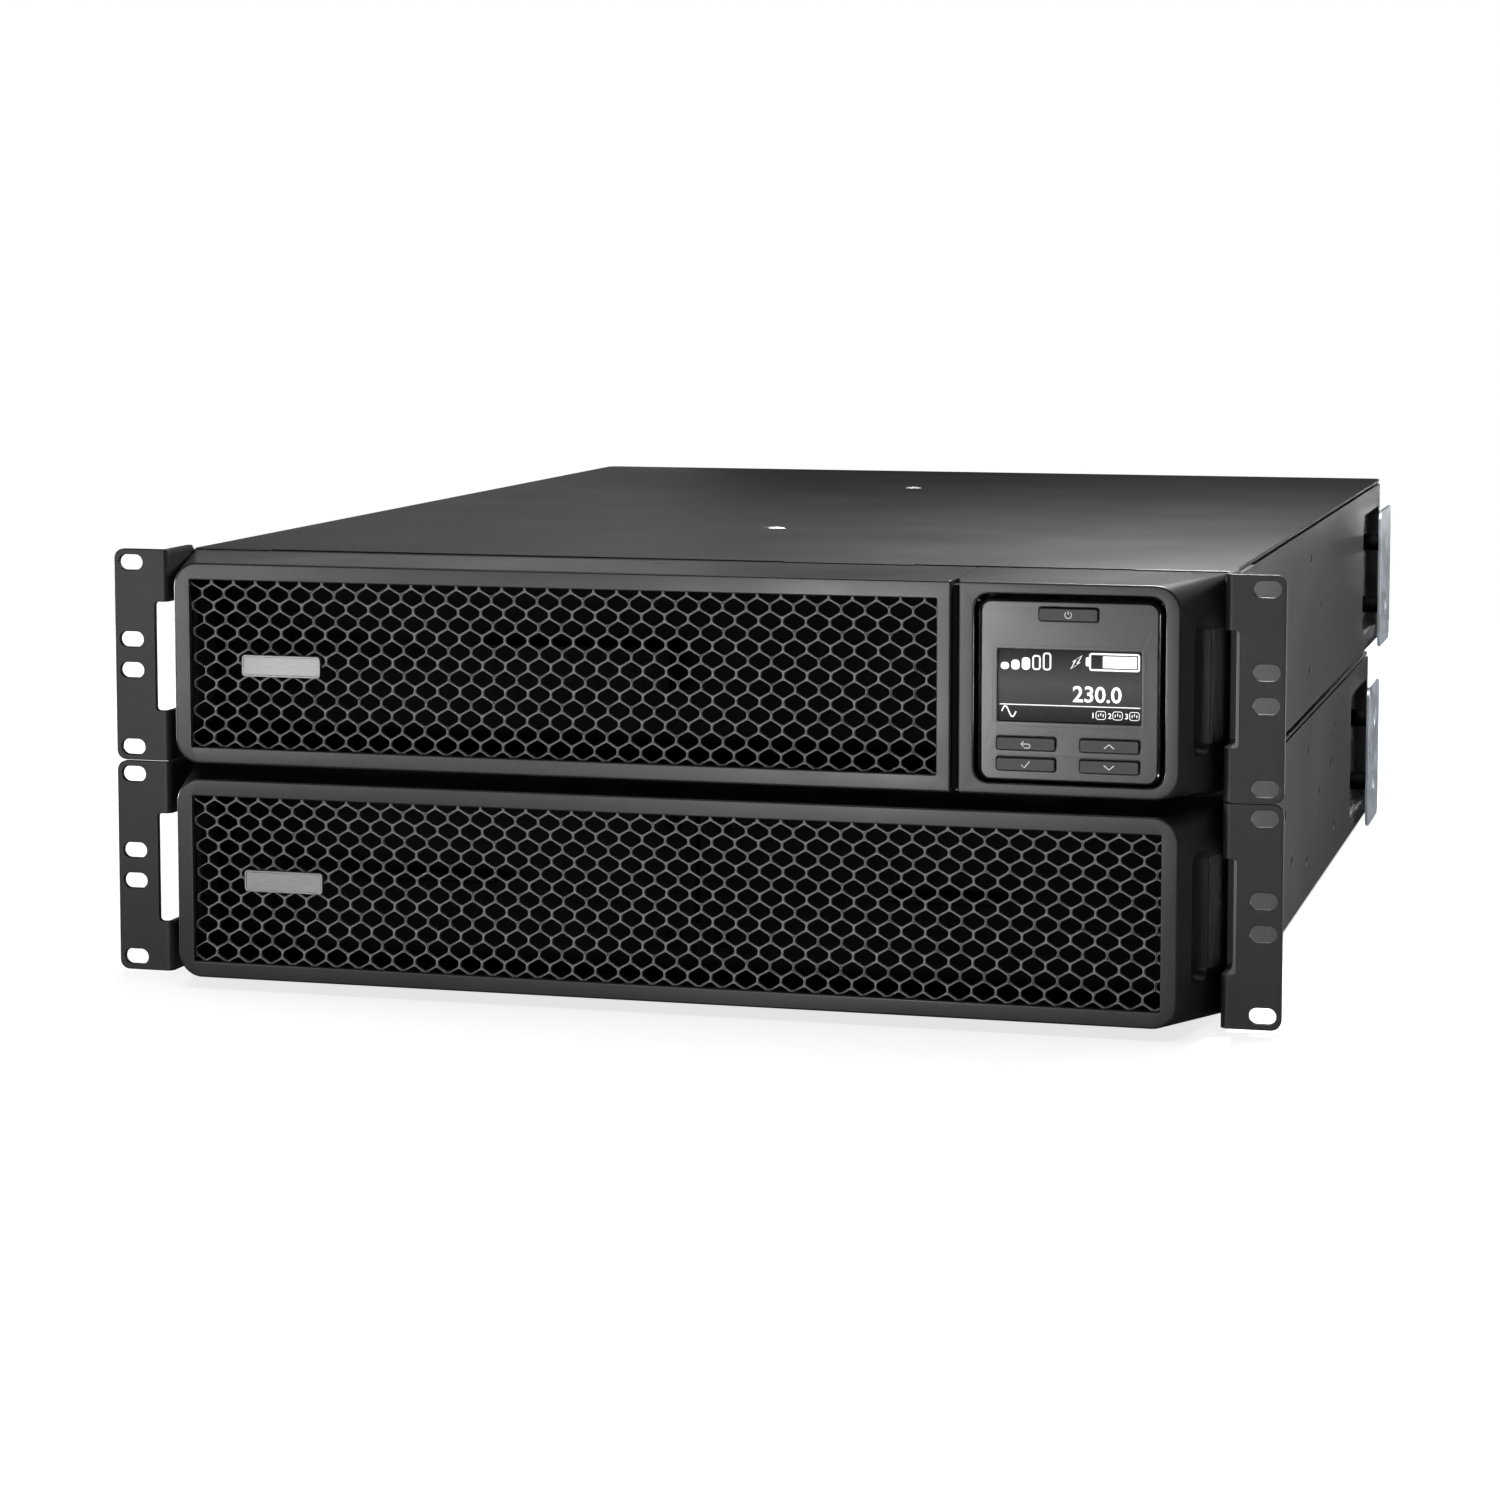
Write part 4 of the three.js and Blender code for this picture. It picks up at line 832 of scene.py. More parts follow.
UPS_APERTURE = (GRILLE_LEFT, UPS_GRILLE_RIGHT, GRILLE_LOW, GRILLE_HIGH, 0.6)
PACK_APERTURE = (GRILLE_LEFT, -GRILLE_LEFT, GRILLE_LOW, GRILLE_HIGH, 0.6)
DISPLAY_X = 161.0
DISPLAY_APERTURE = (DISPLAY_X - 36.9, DISPLAY_X + 36.9, 8.7, 81.3, 6.0)
add_bezel("ups_battery_bezel", UPS_APERTURE, "ups", "ups_front", (-1,),
          ((-214.9, -182), (37, 90)), ((-203, 20), (-11, 13)), right=SPLIT_LEFT)
add_bezel("display_bezel", DISPLAY_APERTURE, "ups", "chassis", (1,), ((178, 214.9),), ((203, 20),),
          left=SPLIT_RIGHT, shoulder=SPLIT_SHOULDER)
add_bezel("pack_bezel", PACK_APERTURE, "pack", "pack_front", (-1, 1))
# A near-black strip in the split between the bezels: painted shade in the groove.
shade_strip_y = (FACE_Y + 0.9, FACE_Y + SPLIT_DEPTH - 0.1)
split_shade_strip = box(SPLIT_SHOULDER + 0.1, SPLIT_RIGHT - 0.2, *shade_strip_y, 6.0, 84.0)
piece("bezel_split_seal", split_shade_strip, "ups", "inner_steel", "chassis")


# ---------- honeycomb grilles ----------

CELL_HALF = 4.725
CELL_SIDE = 1.286
CELL_APEX = 4.014
CELL_ROW = CELL_SIDE + CELL_APEX
CELL_MIDDLE = 43.85
STRAND_HALF = 0.39
HOLE_RADIUS = 1.4
CELL_SLOPE = math.radians(30)
CELL_ROWS = range(-7, 7)
GRILLE_SAG = 4.5
GRILLE_DEPTH = 1.3
GRILLE_EDGE_Y = FACE_BACK_Y + 0.3
SHEET_LOW, SHEET_HIGH = GRILLE_LOW - 1.2, GRILLE_HIGH + 1.2


def sag(z):
    """How far back the sheet's front lies at a height: it bows inwards at mid height."""
    middle = (SHEET_LOW + SHEET_HIGH) / 2
    across = (z - middle) / (SHEET_HIGH - middle)
    return GRILLE_EDGE_Y + GRILLE_SAG * (1 - across * across)


def cell_corners(distance):
    """The corners of a cell, moved in from the tile's edge by a distance."""
    half = CELL_HALF - distance
    apex = CELL_APEX - distance / math.cos(CELL_SLOPE)
    side = apex - half * math.tan(CELL_SLOPE)
    return [(half, -side), (half, side), (0, apex), (-half, side), (-half, -side), (0, -apex)]


def cell_loop(distance, along, arc):
    """Three points at each corner: on the edge before it, at it, and on the edge after it."""
    corners = cell_corners(distance)
    points = []
    for i, corner in enumerate(corners):
        here = Vector(corner)
        before = (Vector(corners[i - 1]) - here).normalized()
        after = (Vector(corners[(i + 1) % 6]) - here).normalized()
        middle = here + (before + after).normalized() * arc
        points += [here + before * along, middle, here + after * along]
    return [(p.x, p.y) for p in points]


TANGENT = HOLE_RADIUS * math.tan(CELL_SLOPE)
ARC_DROP = HOLE_RADIUS * (1 / math.cos(CELL_SLOPE) - 1)
SHIFT = STRAND_HALF * math.tan(CELL_SLOPE)
CELL_RINGS = [  # outline, then its depth behind the sheet's front
    (cell_loop(0, TANGENT + SHIFT, 0), 0.0),
    (cell_loop(STRAND_HALF - 0.17, TANGENT, ARC_DROP), 0.0),
    (cell_loop(STRAND_HALF - 0.05, TANGENT, ARC_DROP), 0.1),
    (cell_loop(STRAND_HALF, TANGENT, ARC_DROP), 0.28),
    (cell_loop(STRAND_HALF, TANGENT, ARC_DROP), GRILLE_DEPTH),
    (cell_loop(0, TANGENT + SHIFT, 0), GRILLE_DEPTH),
]


def honeycomb(left, right):
    """Rings round each hole, and walls along the edges that no second cell shares."""
    shape = Shape()
    outer = {}
    for row in CELL_ROWS:
        z = CELL_MIDDLE + (row + 0.5) * CELL_ROW
        x = left + CELL_HALF * (2 if row % 2 else 1)
        while x - CELL_HALF < right:
            start = len(shape.points)
            for loop, depth in CELL_RINGS:
                shape.points += [(x + u, sag(z + v) + depth, z + v) for u, v in loop]
            count = len(CELL_RINGS[0][0])
            for k in range(len(CELL_RINGS) - 1):
                bridge(shape.faces, start + k * count, start + (k + 1) * count, count)
            last = start + (len(CELL_RINGS) - 1) * count
            for i in range(count):
                j = (i + 1) % count
                ends = sorted(tuple(round(c, 2) for c in shape.points[start + n]) for n in (i, j))
                outer.setdefault(tuple(ends), []).append((start + j, start + i, last + i, last + j))
            x += 2 * CELL_HALF
    shape.faces += [found[0] for found in outer.values() if len(found) == 1]
    return shape


def slice_bmesh(bm, point, direction, **more):
    everything = bm.verts[:] + bm.edges[:] + bm.faces[:]
    return bmesh.ops.bisect_plane(bm, geom=everything, plane_co=point, plane_no=direction, **more)


def clip(bm, point, direction):
    """Cuts away what lies beyond a plane and closes the cut."""
    found = slice_bmesh(bm, point, direction, clear_outer=True)["geom_cut"]
    edges = [e for e in found if isinstance(e, bmesh.types.BMEdge) and e.is_boundary]
    bmesh.ops.holes_fill(bm, edges=edges, sides=0)


def add_grille(name, left, right, unit, body):
    bm = to_bmesh(honeycomb(left - 1.2, right + 1.2))
    clip(bm, (right + 1.15, 0, 0), (1, 0, 0))
    clip(bm, (0, 0, SHEET_HIGH - 0.05), (0, 0, 1))
    clip(bm, (0, 0, SHEET_LOW + 0.05), (0, 0, -1))
    piece(name + "_mesh", bm, unit, "grille", body, (name,), sharp=50, weighted=False)


add_grille("ups_grille", GRILLE_LEFT, UPS_GRILLE_RIGHT, "ups", "ups_front")
add_grille("pack_grille", GRILLE_LEFT, -GRILLE_LEFT, "pack", "pack_front")

for unit in UNITS:
    b = Span(unit + "_badge")
    outline = rounded(b.x0, b.x1, b.z0, b.z1, 1.6, 8)
    body = unit + "_front"
    blank = front_plate(outline, (), b.y0 + 0.25, b.y1, 0.4)
    piece(unit + "_badge_plate", blank, unit, "badge", body, (unit + "_badge",))
    rim = front_plate(outline, (inset(outline, 0.9),), b.y0, b.y0 + 0.6, 0.18)
    piece(unit + "_badge_rim", rim, unit, "badge", body)


# ---------- rack ears ----------

EAR_TIP = 239.8
EAR_SHEET = 2.5
EAR_LOW, EAR_TALL = 1.3, 87.1
BEND_RADIUS = 3.0
BEND_X = 219.3  # where the flat front ends and the bend begins
FLAT_LENGTH = EAR_TIP - BEND_X
BEND_LENGTH = BEND_RADIUS * QUARTER
EAR_LENGTH = FLAT_LENGTH + BEND_LENGTH + 69.0
SLOT_CENTRE = EAR_TIP - 232.55
SHOULDER = FLAT_LENGTH + BEND_LENGTH + 24.0  # where the flange steps down beside the cover
SHOULDER_TOP = 86.0
SLOT_HEIGHTS = (5.45, 37.2, 49.9, 81.65)
BEND_STEPS = 8


def bent(x, z, depth):
    """Folds the flat ear: x is the length from its tip, depth is measured from its front."""
    if x <= FLAT_LENGTH:
        return EAR_TIP - x, depth, z
    if x >= FLAT_LENGTH + BEND_LENGTH:
        return BEND_X - BEND_RADIUS + depth, BEND_RADIUS + x - FLAT_LENGTH - BEND_LENGTH, z
    angle = (x - FLAT_LENGTH) / BEND_RADIUS
    radius = BEND_RADIUS - depth
    return BEND_X - radius * math.sin(angle), BEND_RADIUS - radius * math.cos(angle), z


def add_ear(unit, side, word):
    top = EAR_LOW + EAR_TALL
    whole = rounded(0, EAR_LENGTH, EAR_LOW, top, 4, 8)
    outline = [(x, min(z, SHOULDER_TOP) if x > SHOULDER else z) for x, z in whole[:9]]
    outline += [(SHOULDER + 1.6, SHOULDER_TOP), (SHOULDER, top - 1.2), (SHOULDER - 1.2, top), *whole[9:]]
    slots = [rounded_at(SLOT_CENTRE, EAR_LOW + h, 10.5, 6.4, 3.15) for h in SLOT_HEIGHTS]
    window = rounded(17.6, 39.7, EAR_LOW + 20.7, EAR_LOW + 65.6, 1.5, 5)
    flat = plate(outline, [*slots, window], -EAR_SHEET, 0, 0.3, 3)
    bm = to_bmesh(flat)
    for step in range(BEND_STEPS + 1):
        slice_bmesh(bm, (FLAT_LENGTH + BEND_LENGTH * step / BEND_STEPS, 0, 0), (1, 0, 0))
    for vert in bm.verts:
        x, y, z = bent(vert.co.x, vert.co.y, -vert.co.z)
        vert.co = (side * x, y, z)
    bmesh.ops.recalc_face_normals(bm, faces=bm.faces)
    name = f"{unit}_ear_{word}"
    piece(name + "_plate", bm, unit, "powder", "chassis", (name,), sharp=40)


for unit in UNITS:
    for side, word in SIDES:
        add_ear(unit, side, word)


# ---------- sheet-metal cases ----------

HALF_WIDTH = 216.0
SHEET = 1.5
CASE_FRONT = 27.3
SIDE_TOP = 84.6
COVER_LOW, COVER_TOP = 85.5, 87.1
SCREW_SEAT = 6.7
REARS = {"ups": 611.6, "pack": 562.0}
REAR_GAP = 1.8  # between the sides and the rear wall's outer face
RAIL_HOLE = 2.4
RAIL_HOLES = {"ups": [(291, 69.9), (337, 44.4), (291, 18.9)]}
RAIL_HOLES["pack"] = RAIL_HOLES["ups"] + [
    (402.4, 66.8), (402.4, 18.5), (386.5, 51.5), (206.4, 52.3), (232.3, 28),
]
FOOT = [(0, 0), (7.5, 0), (9.2, 0.25), (10, 0.9), (10, 1.7), (0, 1.7)]
COVER_SCREW_X = -10
COVER_SCREWS_Y = (196, 476)
# A near-black strip stands at these seams: painted shade for the dark line there.
COVER_SEAMS = ((-182, 37), (90, 178))  # where the bezel's rear edge and the cover leave a dark line
# The pressed dish behind each rear bracket: how far its outline lies outside the mouth, then x.
DISH_VISIBLE = [(-5.4, 211.1), (-4.6, 211.25), (-3.9, 211.6), (-0.9, 214.9), (-0.4, 215.35), (0.3, 215.6)]
DISH_HIDDEN = [(0.9, 215.2), (0.9, 214.2), (0.3, 213.6), (-3.0, 210.2), (-4.4, 209.8), (-5.0, 209.75)]


def pocket_outline(unit, grow=0.0):
    back = REARS[unit] - REAR_GAP
    return rounded(back - 82.5 - grow, back - 3 + grow, 10 - grow, 72.8 + grow, 6 + grow)


def add_box(unit):
    """The sides with their pressed dishes, the front lips, the floor pan and the feet."""
    back = REARS[unit] - REAR_GAP
    for side, word in SIDES:
        outline = rounded(CASE_FRONT, back, 1.6, SIDE_TOP, 0.6, 3)
        holes = [circle(y, z, RAIL_HOLE, 24) for y, z in RAIL_HOLES[unit]]
        wall = plate(outline, [*holes, pocket_outline(unit)], HALF_WIDTH - SHEET, HALF_WIDTH)
        rings = [
            [(x, y, z) for y, z in pocket_outline(unit, grow)]
            for grow, x in DISH_VISIBLE + DISH_HIDDEN
        ]
        dish = loft(rings, cap_first=True, cap_last=True)
        lip = box(208.5, 214.3, CASE_FRONT, CASE_FRONT + SHEET, 3.4, SIDE_TOP - 0.6)
        replaced = (unit + "_chassis",) if side > 0 else ()
        piece(f"{unit}_side_{word}", facing_side(wall).on_side(side), unit, "powder", "chassis", replaced)
        piece(f"{unit}_side_dish_{word}", dish.on_side(side), unit, "powder", "chassis")
        piece(f"{unit}_front_lip_{word}", lip.on_side(side), unit, "powder", "chassis")
    floor = plate(rounded(-214.2, 214.2, CASE_FRONT, back, 1, 3), (), 1.6, 3.1)
    piece(unit + "_floor_pan", floor, unit, "powder", "chassis")
    feet = Shape()
    for x in (-180, 180):
        for y in (CASE_FRONT + 50, back - 50):
            feet.join(lathe(FOOT, 36).moved(x, y))
    piece(unit + "_feet", feet, unit, "socket", "chassis")


def add_cover(unit):
    """The top cover, its lips, the dark seam strip in front of it, and its two sunk screws; the strip, the
    lips' showing edge and the screws' seats are near-black as painted shade.
    """
    rear = REARS[unit]
    holes = [circle(COVER_SCREW_X, y, SCREW_SEAT, 36) for y in COVER_SCREWS_Y]
    outline = rounded(-HALF_WIDTH, HALF_WIDTH, CASE_FRONT, rear, (5, 5, 0.8, 0.8))
    cover = plate(outline, holes, COVER_LOW, COVER_TOP, 0.5)
    piece(unit + "_cover_sheet", cover, unit, "powder", "chassis", (unit + "_top_cover",))
    for side, word in SIDES:
        # The lips are near-black where they show in the gap under the cover: painted shade.
        lip = box(213.0, 214.2, 31, rear - 6, 75.5, 85.7, 0.25)
        piece(f"{unit}_cover_lip_{word}", lip.on_side(side), unit, "inside", "chassis")
    # Painted shade: near-black strips along the seams in front of the cover.
    seam_shade = Shape()
    for x0, x1 in COVER_SEAMS:
        seam_shade.join(box(x0, x1, BACK_Y + 0.02, CASE_FRONT - 0.02, 85.0, COVER_TOP + 0.02))
    piece(unit + "_cover_seal", seam_shade, unit, "inside", "chassis")
    # Near-black seats round the screws: painted shade in the countersinks.
    seat = [(3.2, -1.5), (SCREW_SEAT + 0.2, -1.5), (SCREW_SEAT + 0.2, -0.5), (SCREW_SEAT - 0.1, -0.15)]
    seat += [(4.6, -0.75), (3.2, -0.8)]
    ring = loft(turned_rings(seat, 40), closed=True)
    seats = Shape().join(*[ring.moved(COVER_SCREW_X, y, COVER_TOP) for y in COVER_SCREWS_Y])
    piece(unit + "_cover_screw_seats", seats, unit, "inside", "chassis")
    places = [(COVER_SCREW_X, y, COVER_TOP - 0.75) for y in COVER_SCREWS_Y]
    screws(unit + "_cover_screws", places, "+z", unit, "chassis", 4.1, 1.0, "plated")


for unit in UNITS:
    add_box(unit)
    add_cover(unit)


# ---------- rear brackets ----------

BRACKET_SCREWS_Z = (22.3, 55.3)
STROKE_LENGTH = 26.0
STROKE_TILT = math.radians(18)


def raised_stroke(tilt):
    """A long low bump pressed in a bracket, turned by an angle, in (u, v, t)."""
    bump = lathe([(0, 0), (2.6, 0), (2.3, 0.3), (1.3, 0.55), (0, 0.6)], 20)
    half = STROKE_LENGTH / 2
    stretched = bump.mapped(lambda u, v, t: (u + (half if u > 0 else -half), v, t))
    c, s = math.cos(tilt), math.sin(tilt)
    return stretched.mapped(lambda u, v, t: (u * c - v * s, u * s + v * c, t))


def add_bracket(unit, side, word):
    name = f"{unit}_rear_bracket_{word}"
    b = Span(f"{unit}_rear_bracket_right")
    x1 = b.x1
    x0 = x1 - SHEET
    middle = (b.y0 + b.y1) / 2
    seats = [circle(middle, z, 6.3, 36) for z in BRACKET_SCREWS_Z]
    sheet = facing_side(plate(rounded(b.y0, b.y1, b.z0, b.z1, 5), seats, x0, x1))
    posts = Shape()
    dish = [(0, x0 - 1.6), (4.2, x0 - 1.6), (5.2, x0 - 1.2), (6.6, x1 - 0.5), (6.5, x1 - 0.2)]
    dish += [(5.9, x1 - 0.5), (4.6, x0 - 0.4), (4.0, x0 - 0.6), (0, x0 - 0.6)]
    post = [(0, 209.6), (4.4, 209.6), (4.4, x0 - 1.4), (4.0, x0 - 1.0), (0, x0 - 1.0)]
    for z in BRACKET_SCREWS_Z:
        sheet.join(pointing(lathe(dish, 36), "+x").moved(0, middle, z))
        posts.join(pointing(lathe(post, 28), "+x").moved(0, middle, z))
    for z, tilt in ((b.z1 - 9, STROKE_TILT), (b.z0 + 9, -STROKE_TILT)):
        sheet.join(facing_side(raised_stroke(tilt)).moved(x1 - 0.62, middle, z))
    piece(name + "_plate", sheet.on_side(side), unit, "zinc", "chassis", (name,), sharp=30)
    # The posts are near-black: painted shade behind the bracket plates.
    piece(name + "_posts", posts.on_side(side), unit, "inner_steel", "chassis", sharp=30)
    heads = [(side * (x0 - 0.6), middle, z) for z in BRACKET_SCREWS_Z]
    outwards = "+x" if side > 0 else "-x"
    screws(name + "_screws", heads, outwards, unit, "chassis", 3.6, 1.6, "connector")


for unit in UNITS:
    for side, word in SIDES:
        add_bracket(unit, side, word)


# ---------- tilting display ----------

def panel_outline(half, low, high, radius, grow=0.0, steps=8):
    x0, x1 = DISPLAY_X - half - grow, DISPLAY_X + half + grow
    return rounded(x0, x1, low - grow, high + grow, radius + grow, steps)


LATCH_X = 160.5
HINGE_Y, HINGE_Z = -19, 78.2
LCD_HALF, LCD_LOW, LCD_HIGH = 27.5, 32.6, 60.2
KEY_HALF, KEY_TALL = 11.2, 2.4
KEYS = {
    "power_button": (160.5, 73.6),
    "escape_button": (144.5, 24.1),
    "ok_button": (144.5, 16.2),
    "up_button": (176.5, 24.1),
    "down_button": (176.5, 16.2),
}


TRAY_RINGS = [  # how far the outline lies outside the rim, then y
    (-3.2, -12.0),
    (-3.2, -21.0),
    (-1.0, -21.0),
    (-1.0, -22.2),
    (-0.85, -22.5),
    (-0.55, -22.6),
    (-0.25, -22.5),
    (0.0, -22.1),
    (0.0, -9.0),
    (-1.0, -8.0),
]


def housing():
    """The tray behind the faceplate, with a rounded glossy rim and two hinge pins."""
    rings = [
        [(x, y, z) for x, z in panel_outline(35.0, 9.8, 79.4, 5.0, grow)]
        for grow, y in TRAY_RINGS
    ]
    shell = loft(rings, cap_first=True, cap_last=True)
    for side in (-1, 1):
        start, end = sorted((DISPLAY_X + side * 34.5, DISPLAY_X + side * 39.3))
        pin = lathe([(0, start), (1.0, start), (1.0, end - 0.2), (0.8, end), (0, end)], 20)
        shell.join(pointing(pin, "+x").moved(0, HINGE_Y, HINGE_Z))
    return shell


def key_hole(place):
    """The opening round a key, wider above it and to its right."""
    x, z = place
    return rounded(x - KEY_HALF - 0.06, x + KEY_HALF + 0.6, z - KEY_TALL - 0.06, z + KEY_TALL + 0.5, 1.1, 5)


def add_display():
    gate = box(LATCH_X - 4.1, LATCH_X + 4.1, -21.0, -16.2, 8.5, 14.8, 0.1)
    piece("display_tray", housing(), "ups", "gloss", "display", ("display_housing",), sharp=30,
          cutters=[gate])
    window = rounded(DISPLAY_X - LCD_HALF, DISPLAY_X + LCD_HALF, LCD_LOW, LCD_HIGH, 0.5, 3)
    openings = [window, *map(key_hole, KEYS.values())]
    face = front_plate(panel_outline(33.7, 10.5, 78.4, 4.0), openings, -22.9, -21.35, 0.35, 4, 0.1)
    frame_line = panel_outline(LCD_HALF, LCD_LOW, LCD_HIGH, 0.8, 1.6, 3)
    groove = front_plate(inset(frame_line, -0.16), (inset(frame_line, 0.16),), -23.4, -22.66, 0.0)
    piece("display_face", face, "ups", "faceplate", "display", ("display_faceplate",), sharp=30,
          cutters=[groove])
    pane = front_plate(inset(window, 0.12), (), -22.5, -21.4, 0.15)
    piece("display_pane", pane, "ups", "window", "display", ("lcd_window",))
    screen = box(DISPLAY_X - 31, DISPLAY_X + 31, -21.2, -15.4, 29.6, 63.4, 0.2)
    piece("display_screen", screen, "ups", "screen", "display", ("lcd_panel",))
    keep("keypad_board", "board", 0.2)

    lining = panel_outline(36.9, 8.7, 81.3, 6.0)
    outer, inner = inset(lining, -0.05), inset(lining, 0.2)
    trim = front_plate(outer, (inner,), FACE_Y + 0.5, FACE_BACK_Y + 0.2, 0.08, 2)
    piece("display_opening_trim", trim, "ups", "gloss", "chassis")
    latch = box(LATCH_X - 3.7, LATCH_X + 3.7, -20.6, -16.6, 9.9, 14.4, 0.5)
    piece("display_release_latch", latch, "ups", "gloss", "display_release", ("display_release_button",))


add_display()


def add_display_bay():
    """The sheet-metal wall that closes the case behind the display."""
    slots = [rounded(137 + 6 * i, 139.4 + 6 * i, 30, 58, 1.2, 4) for i in range(9)]
    wall = front_plate(rounded(119.6, 196.8, 5.2, 83.4, 2, 4), slots, 10.0, 11.2)
    piece("display_bay_wall", wall, "ups", "powder", "chassis")
    shade = box(133, 189, 12.4, 13.4, 26, 62)
    piece("display_bay_shade", shade, "ups", "inside", "chassis")
    places = [(x, 10.0, z) for x in (125, 191.5) for z in (11, 77.5)]
    screws("display_bay_screws", places, "-y", "ups", "chassis", 2.8, 1.4)


add_display_bay()


def add_key(name):
    x, z = KEYS[name]
    outline = rounded(x - KEY_HALF, x + KEY_HALF, z - KEY_TALL, z + KEY_TALL, 0.9, 5)
    cap = front_plate(outline, (), -23.32, -21.0, 0.4, 4, 0.1)
    cap.join(front_plate(inset(outline, -0.5), (), -21.0, -20.15, 0.1))
    piece(name + "_top", cap, "ups", "key", name + "_cap", (name,))


for name in KEYS:
    add_key(name)

MARK_DEPTH = 0.12


def flat_marks(name, outlines, y_front, body, material):
    """Thin raised marks; each entry is (outline, holes)."""
    group = Shape()
    for outline, holes in outlines:
        group.join(front_plate(outline, holes, y_front, y_front + MARK_DEPTH, 0.0))
    piece(name, group, "ups", material, body, weighted=False)


def clock_arc(x, z, radius, start, end, steps):
    """Points along an arc; angles are degrees clockwise from the top."""
    angles = [math.radians(start + (end - start) * i / steps) for i in range(steps + 1)]
    return [(x + radius * math.sin(a), z + radius * math.cos(a)) for a in angles]


def key_marks():
    """A power sign, a return arrow, a tick and two chevrons: (pen width, line, line ...)."""
    x, z = KEYS["power_button"]
    lines = {"power_button": (0.32, clock_arc(x, z, 1.25, 35, 325, 24), [(x, z + 0.1), (x, z + 1.5)])}
    x, z = KEYS["escape_button"]
    bend = clock_arc(x + 1.0, z - 0.75, 0.75, 0, 180, 8)
    head = [(x - 0.7, z + 1.0), (x - 1.7, z), (x - 0.7, z - 1.0)]
    lines["escape_button"] = (0.34, [(x - 1.6, z), (x + 1.0, z), *bend[1:], (x - 0.4, z - 1.5)], head)
    x, z = KEYS["ok_button"]
    lines["ok_button"] = (0.38, [(x - 1.5, z - 0.1), (x - 0.4, z - 1.2), (x + 1.7, z + 1.3)])
    for name, way in (("up_button", 1), ("down_button", -1)):
        x, z = KEYS[name]
        lines[name] = (0.42, [(x - 1.9, z - 0.75 * way), (x, z + 0.85 * way), (x + 1.9, z - 0.75 * way)])
    for name, (width, *drawn) in lines.items():
        outlines = [(stroke(points, width), ()) for points in drawn]
        flat_marks(name + "_mark", outlines, FACE_Y, name + "_cap", "key_ink")


key_marks()

SCREEN_Y = -21.28
BARS, FULL_BARS = 5, 3
OUTLETS = 3


def text_shape(words, size, x, z):
    """The default font's digits as a flat mesh, in (x, z)."""
    curve = bpy.data.curves.new("digits", "FONT")
    curve.body = words
    curve.size = size
    curve.extrude = 0.03
    curve.resolution_u = 3
    curve.offset = size * 0.018
    obj = bpy.data.objects.new("digits", curve)
    bpy.context.scene.collection.objects.link(obj)
    bpy.context.view_layer.update()
    mesh = obj.evaluated_get(bpy.context.evaluated_depsgraph_get()).to_mesh()
    shape = Shape([v.co[:] for v in mesh.vertices], [p.vertices[:] for p in mesh.polygons])
    bpy.data.objects.remove(obj)
    bpy.data.curves.remove(curve)
    return shape.mapped(lambda u, v, t: (u + x, SCREEN_Y + 0.03 - t, v + z))


def ring_mark(outline, width):
    return outline, (inset(outline, width),)


def screen_marks():
    """Load bars, a bolt, a battery and a rule above a wave and three numbered outlets."""
    left = DISPLAY_X - LCD_HALF
    top = LCD_HIGH
    filled, lined = [], []
    for i in range(BARS):
        x0 = left + 0.9 + 4.05 * i
        tall = 2.75 + 1.0 * i
        outline = rounded(x0, x0 + 3.2, top - 8.0, top - 8.0 + tall, min(1.3, tall / 2.1), 6)
        if i < FULL_BARS:
            filled.append(outline)
        else:
            lined.append(ring_mark(outline, 0.62))
    x, z = left + 29.9, top - 4.6
    bolt = [(x - 2.1, z - 2.5), (x - 0.4, z + 0.5), (x - 1.5, z + 0.2)]
    bolt += [(x + 2.1, z + 2.5), (x + 0.4, z - 0.4), (x + 1.5, z - 0.1)]
    lined.append((inset(bolt, -0.25), (inset(bolt, 0.25),)))
    x0, x1, z0, z1 = left + 34.8, left + 54.1, top - 7.7, top - 0.9
    lined.append(ring_mark(rounded(x0, x1, z0, z1, 1.0, 4), 0.7))
    filled.append(rounded(x0 - 1.3, x0 + 0.3, z0 + 1.7, z1 - 1.7, 0.5, 3))
    filled.append(rounded(x0 + 5.2, x1 - 1.15, z0 + 1.15, z1 - 1.15, 0.3, 3))
    filled.append(rounded(left + 0.6, left + 54.4, LCD_LOW + 6.1, LCD_LOW + 6.45, 0.15, 2))
    turns = [i / 24 for i in range(25)]
    wave = [(left + 1.4 + 5.5 * t, LCD_LOW + 3.6 + 2.0 * math.sin(2 * math.pi * t)) for t in turns]
    filled.append(stroke(wave, 0.5))
    digits = text_shape("230.0", 8.5, left + 28.5, LCD_LOW + 8.0)
    for i in range(OUTLETS):
        x = left + 39.4 + 6.4 * i
        z = LCD_LOW + 3.1
        lined.append(ring_mark(rounded_at(x, z, 3.9, 3.3, 1.0, 6), 0.24))
        for dx, dz in ((-0.9, -0.1), (0.0, 0.35), (0.9, -0.1)):
            filled.append(rounded_at(x + dx, z + dz, 0.3, 1.1, 0.1, 2))
        digits.join(text_shape(str(i + 1), 2.9, x - 3.7, LCD_LOW + 2.0))
    outlines = [(outline, ()) for outline in filled] + lined
    flat_marks("screen_marks", outlines, SCREEN_Y, "display", "ink")
    piece("screen_digits", digits, "ups", "ink", "display", weighted=False)


screen_marks()


# ---------- batteries and electronics ----------

for node in ("ups_battery_tray", "pack_tray_left", "pack_tray_right", "battery_bay_wall"):
    keep(node, "zinc", 0.2)
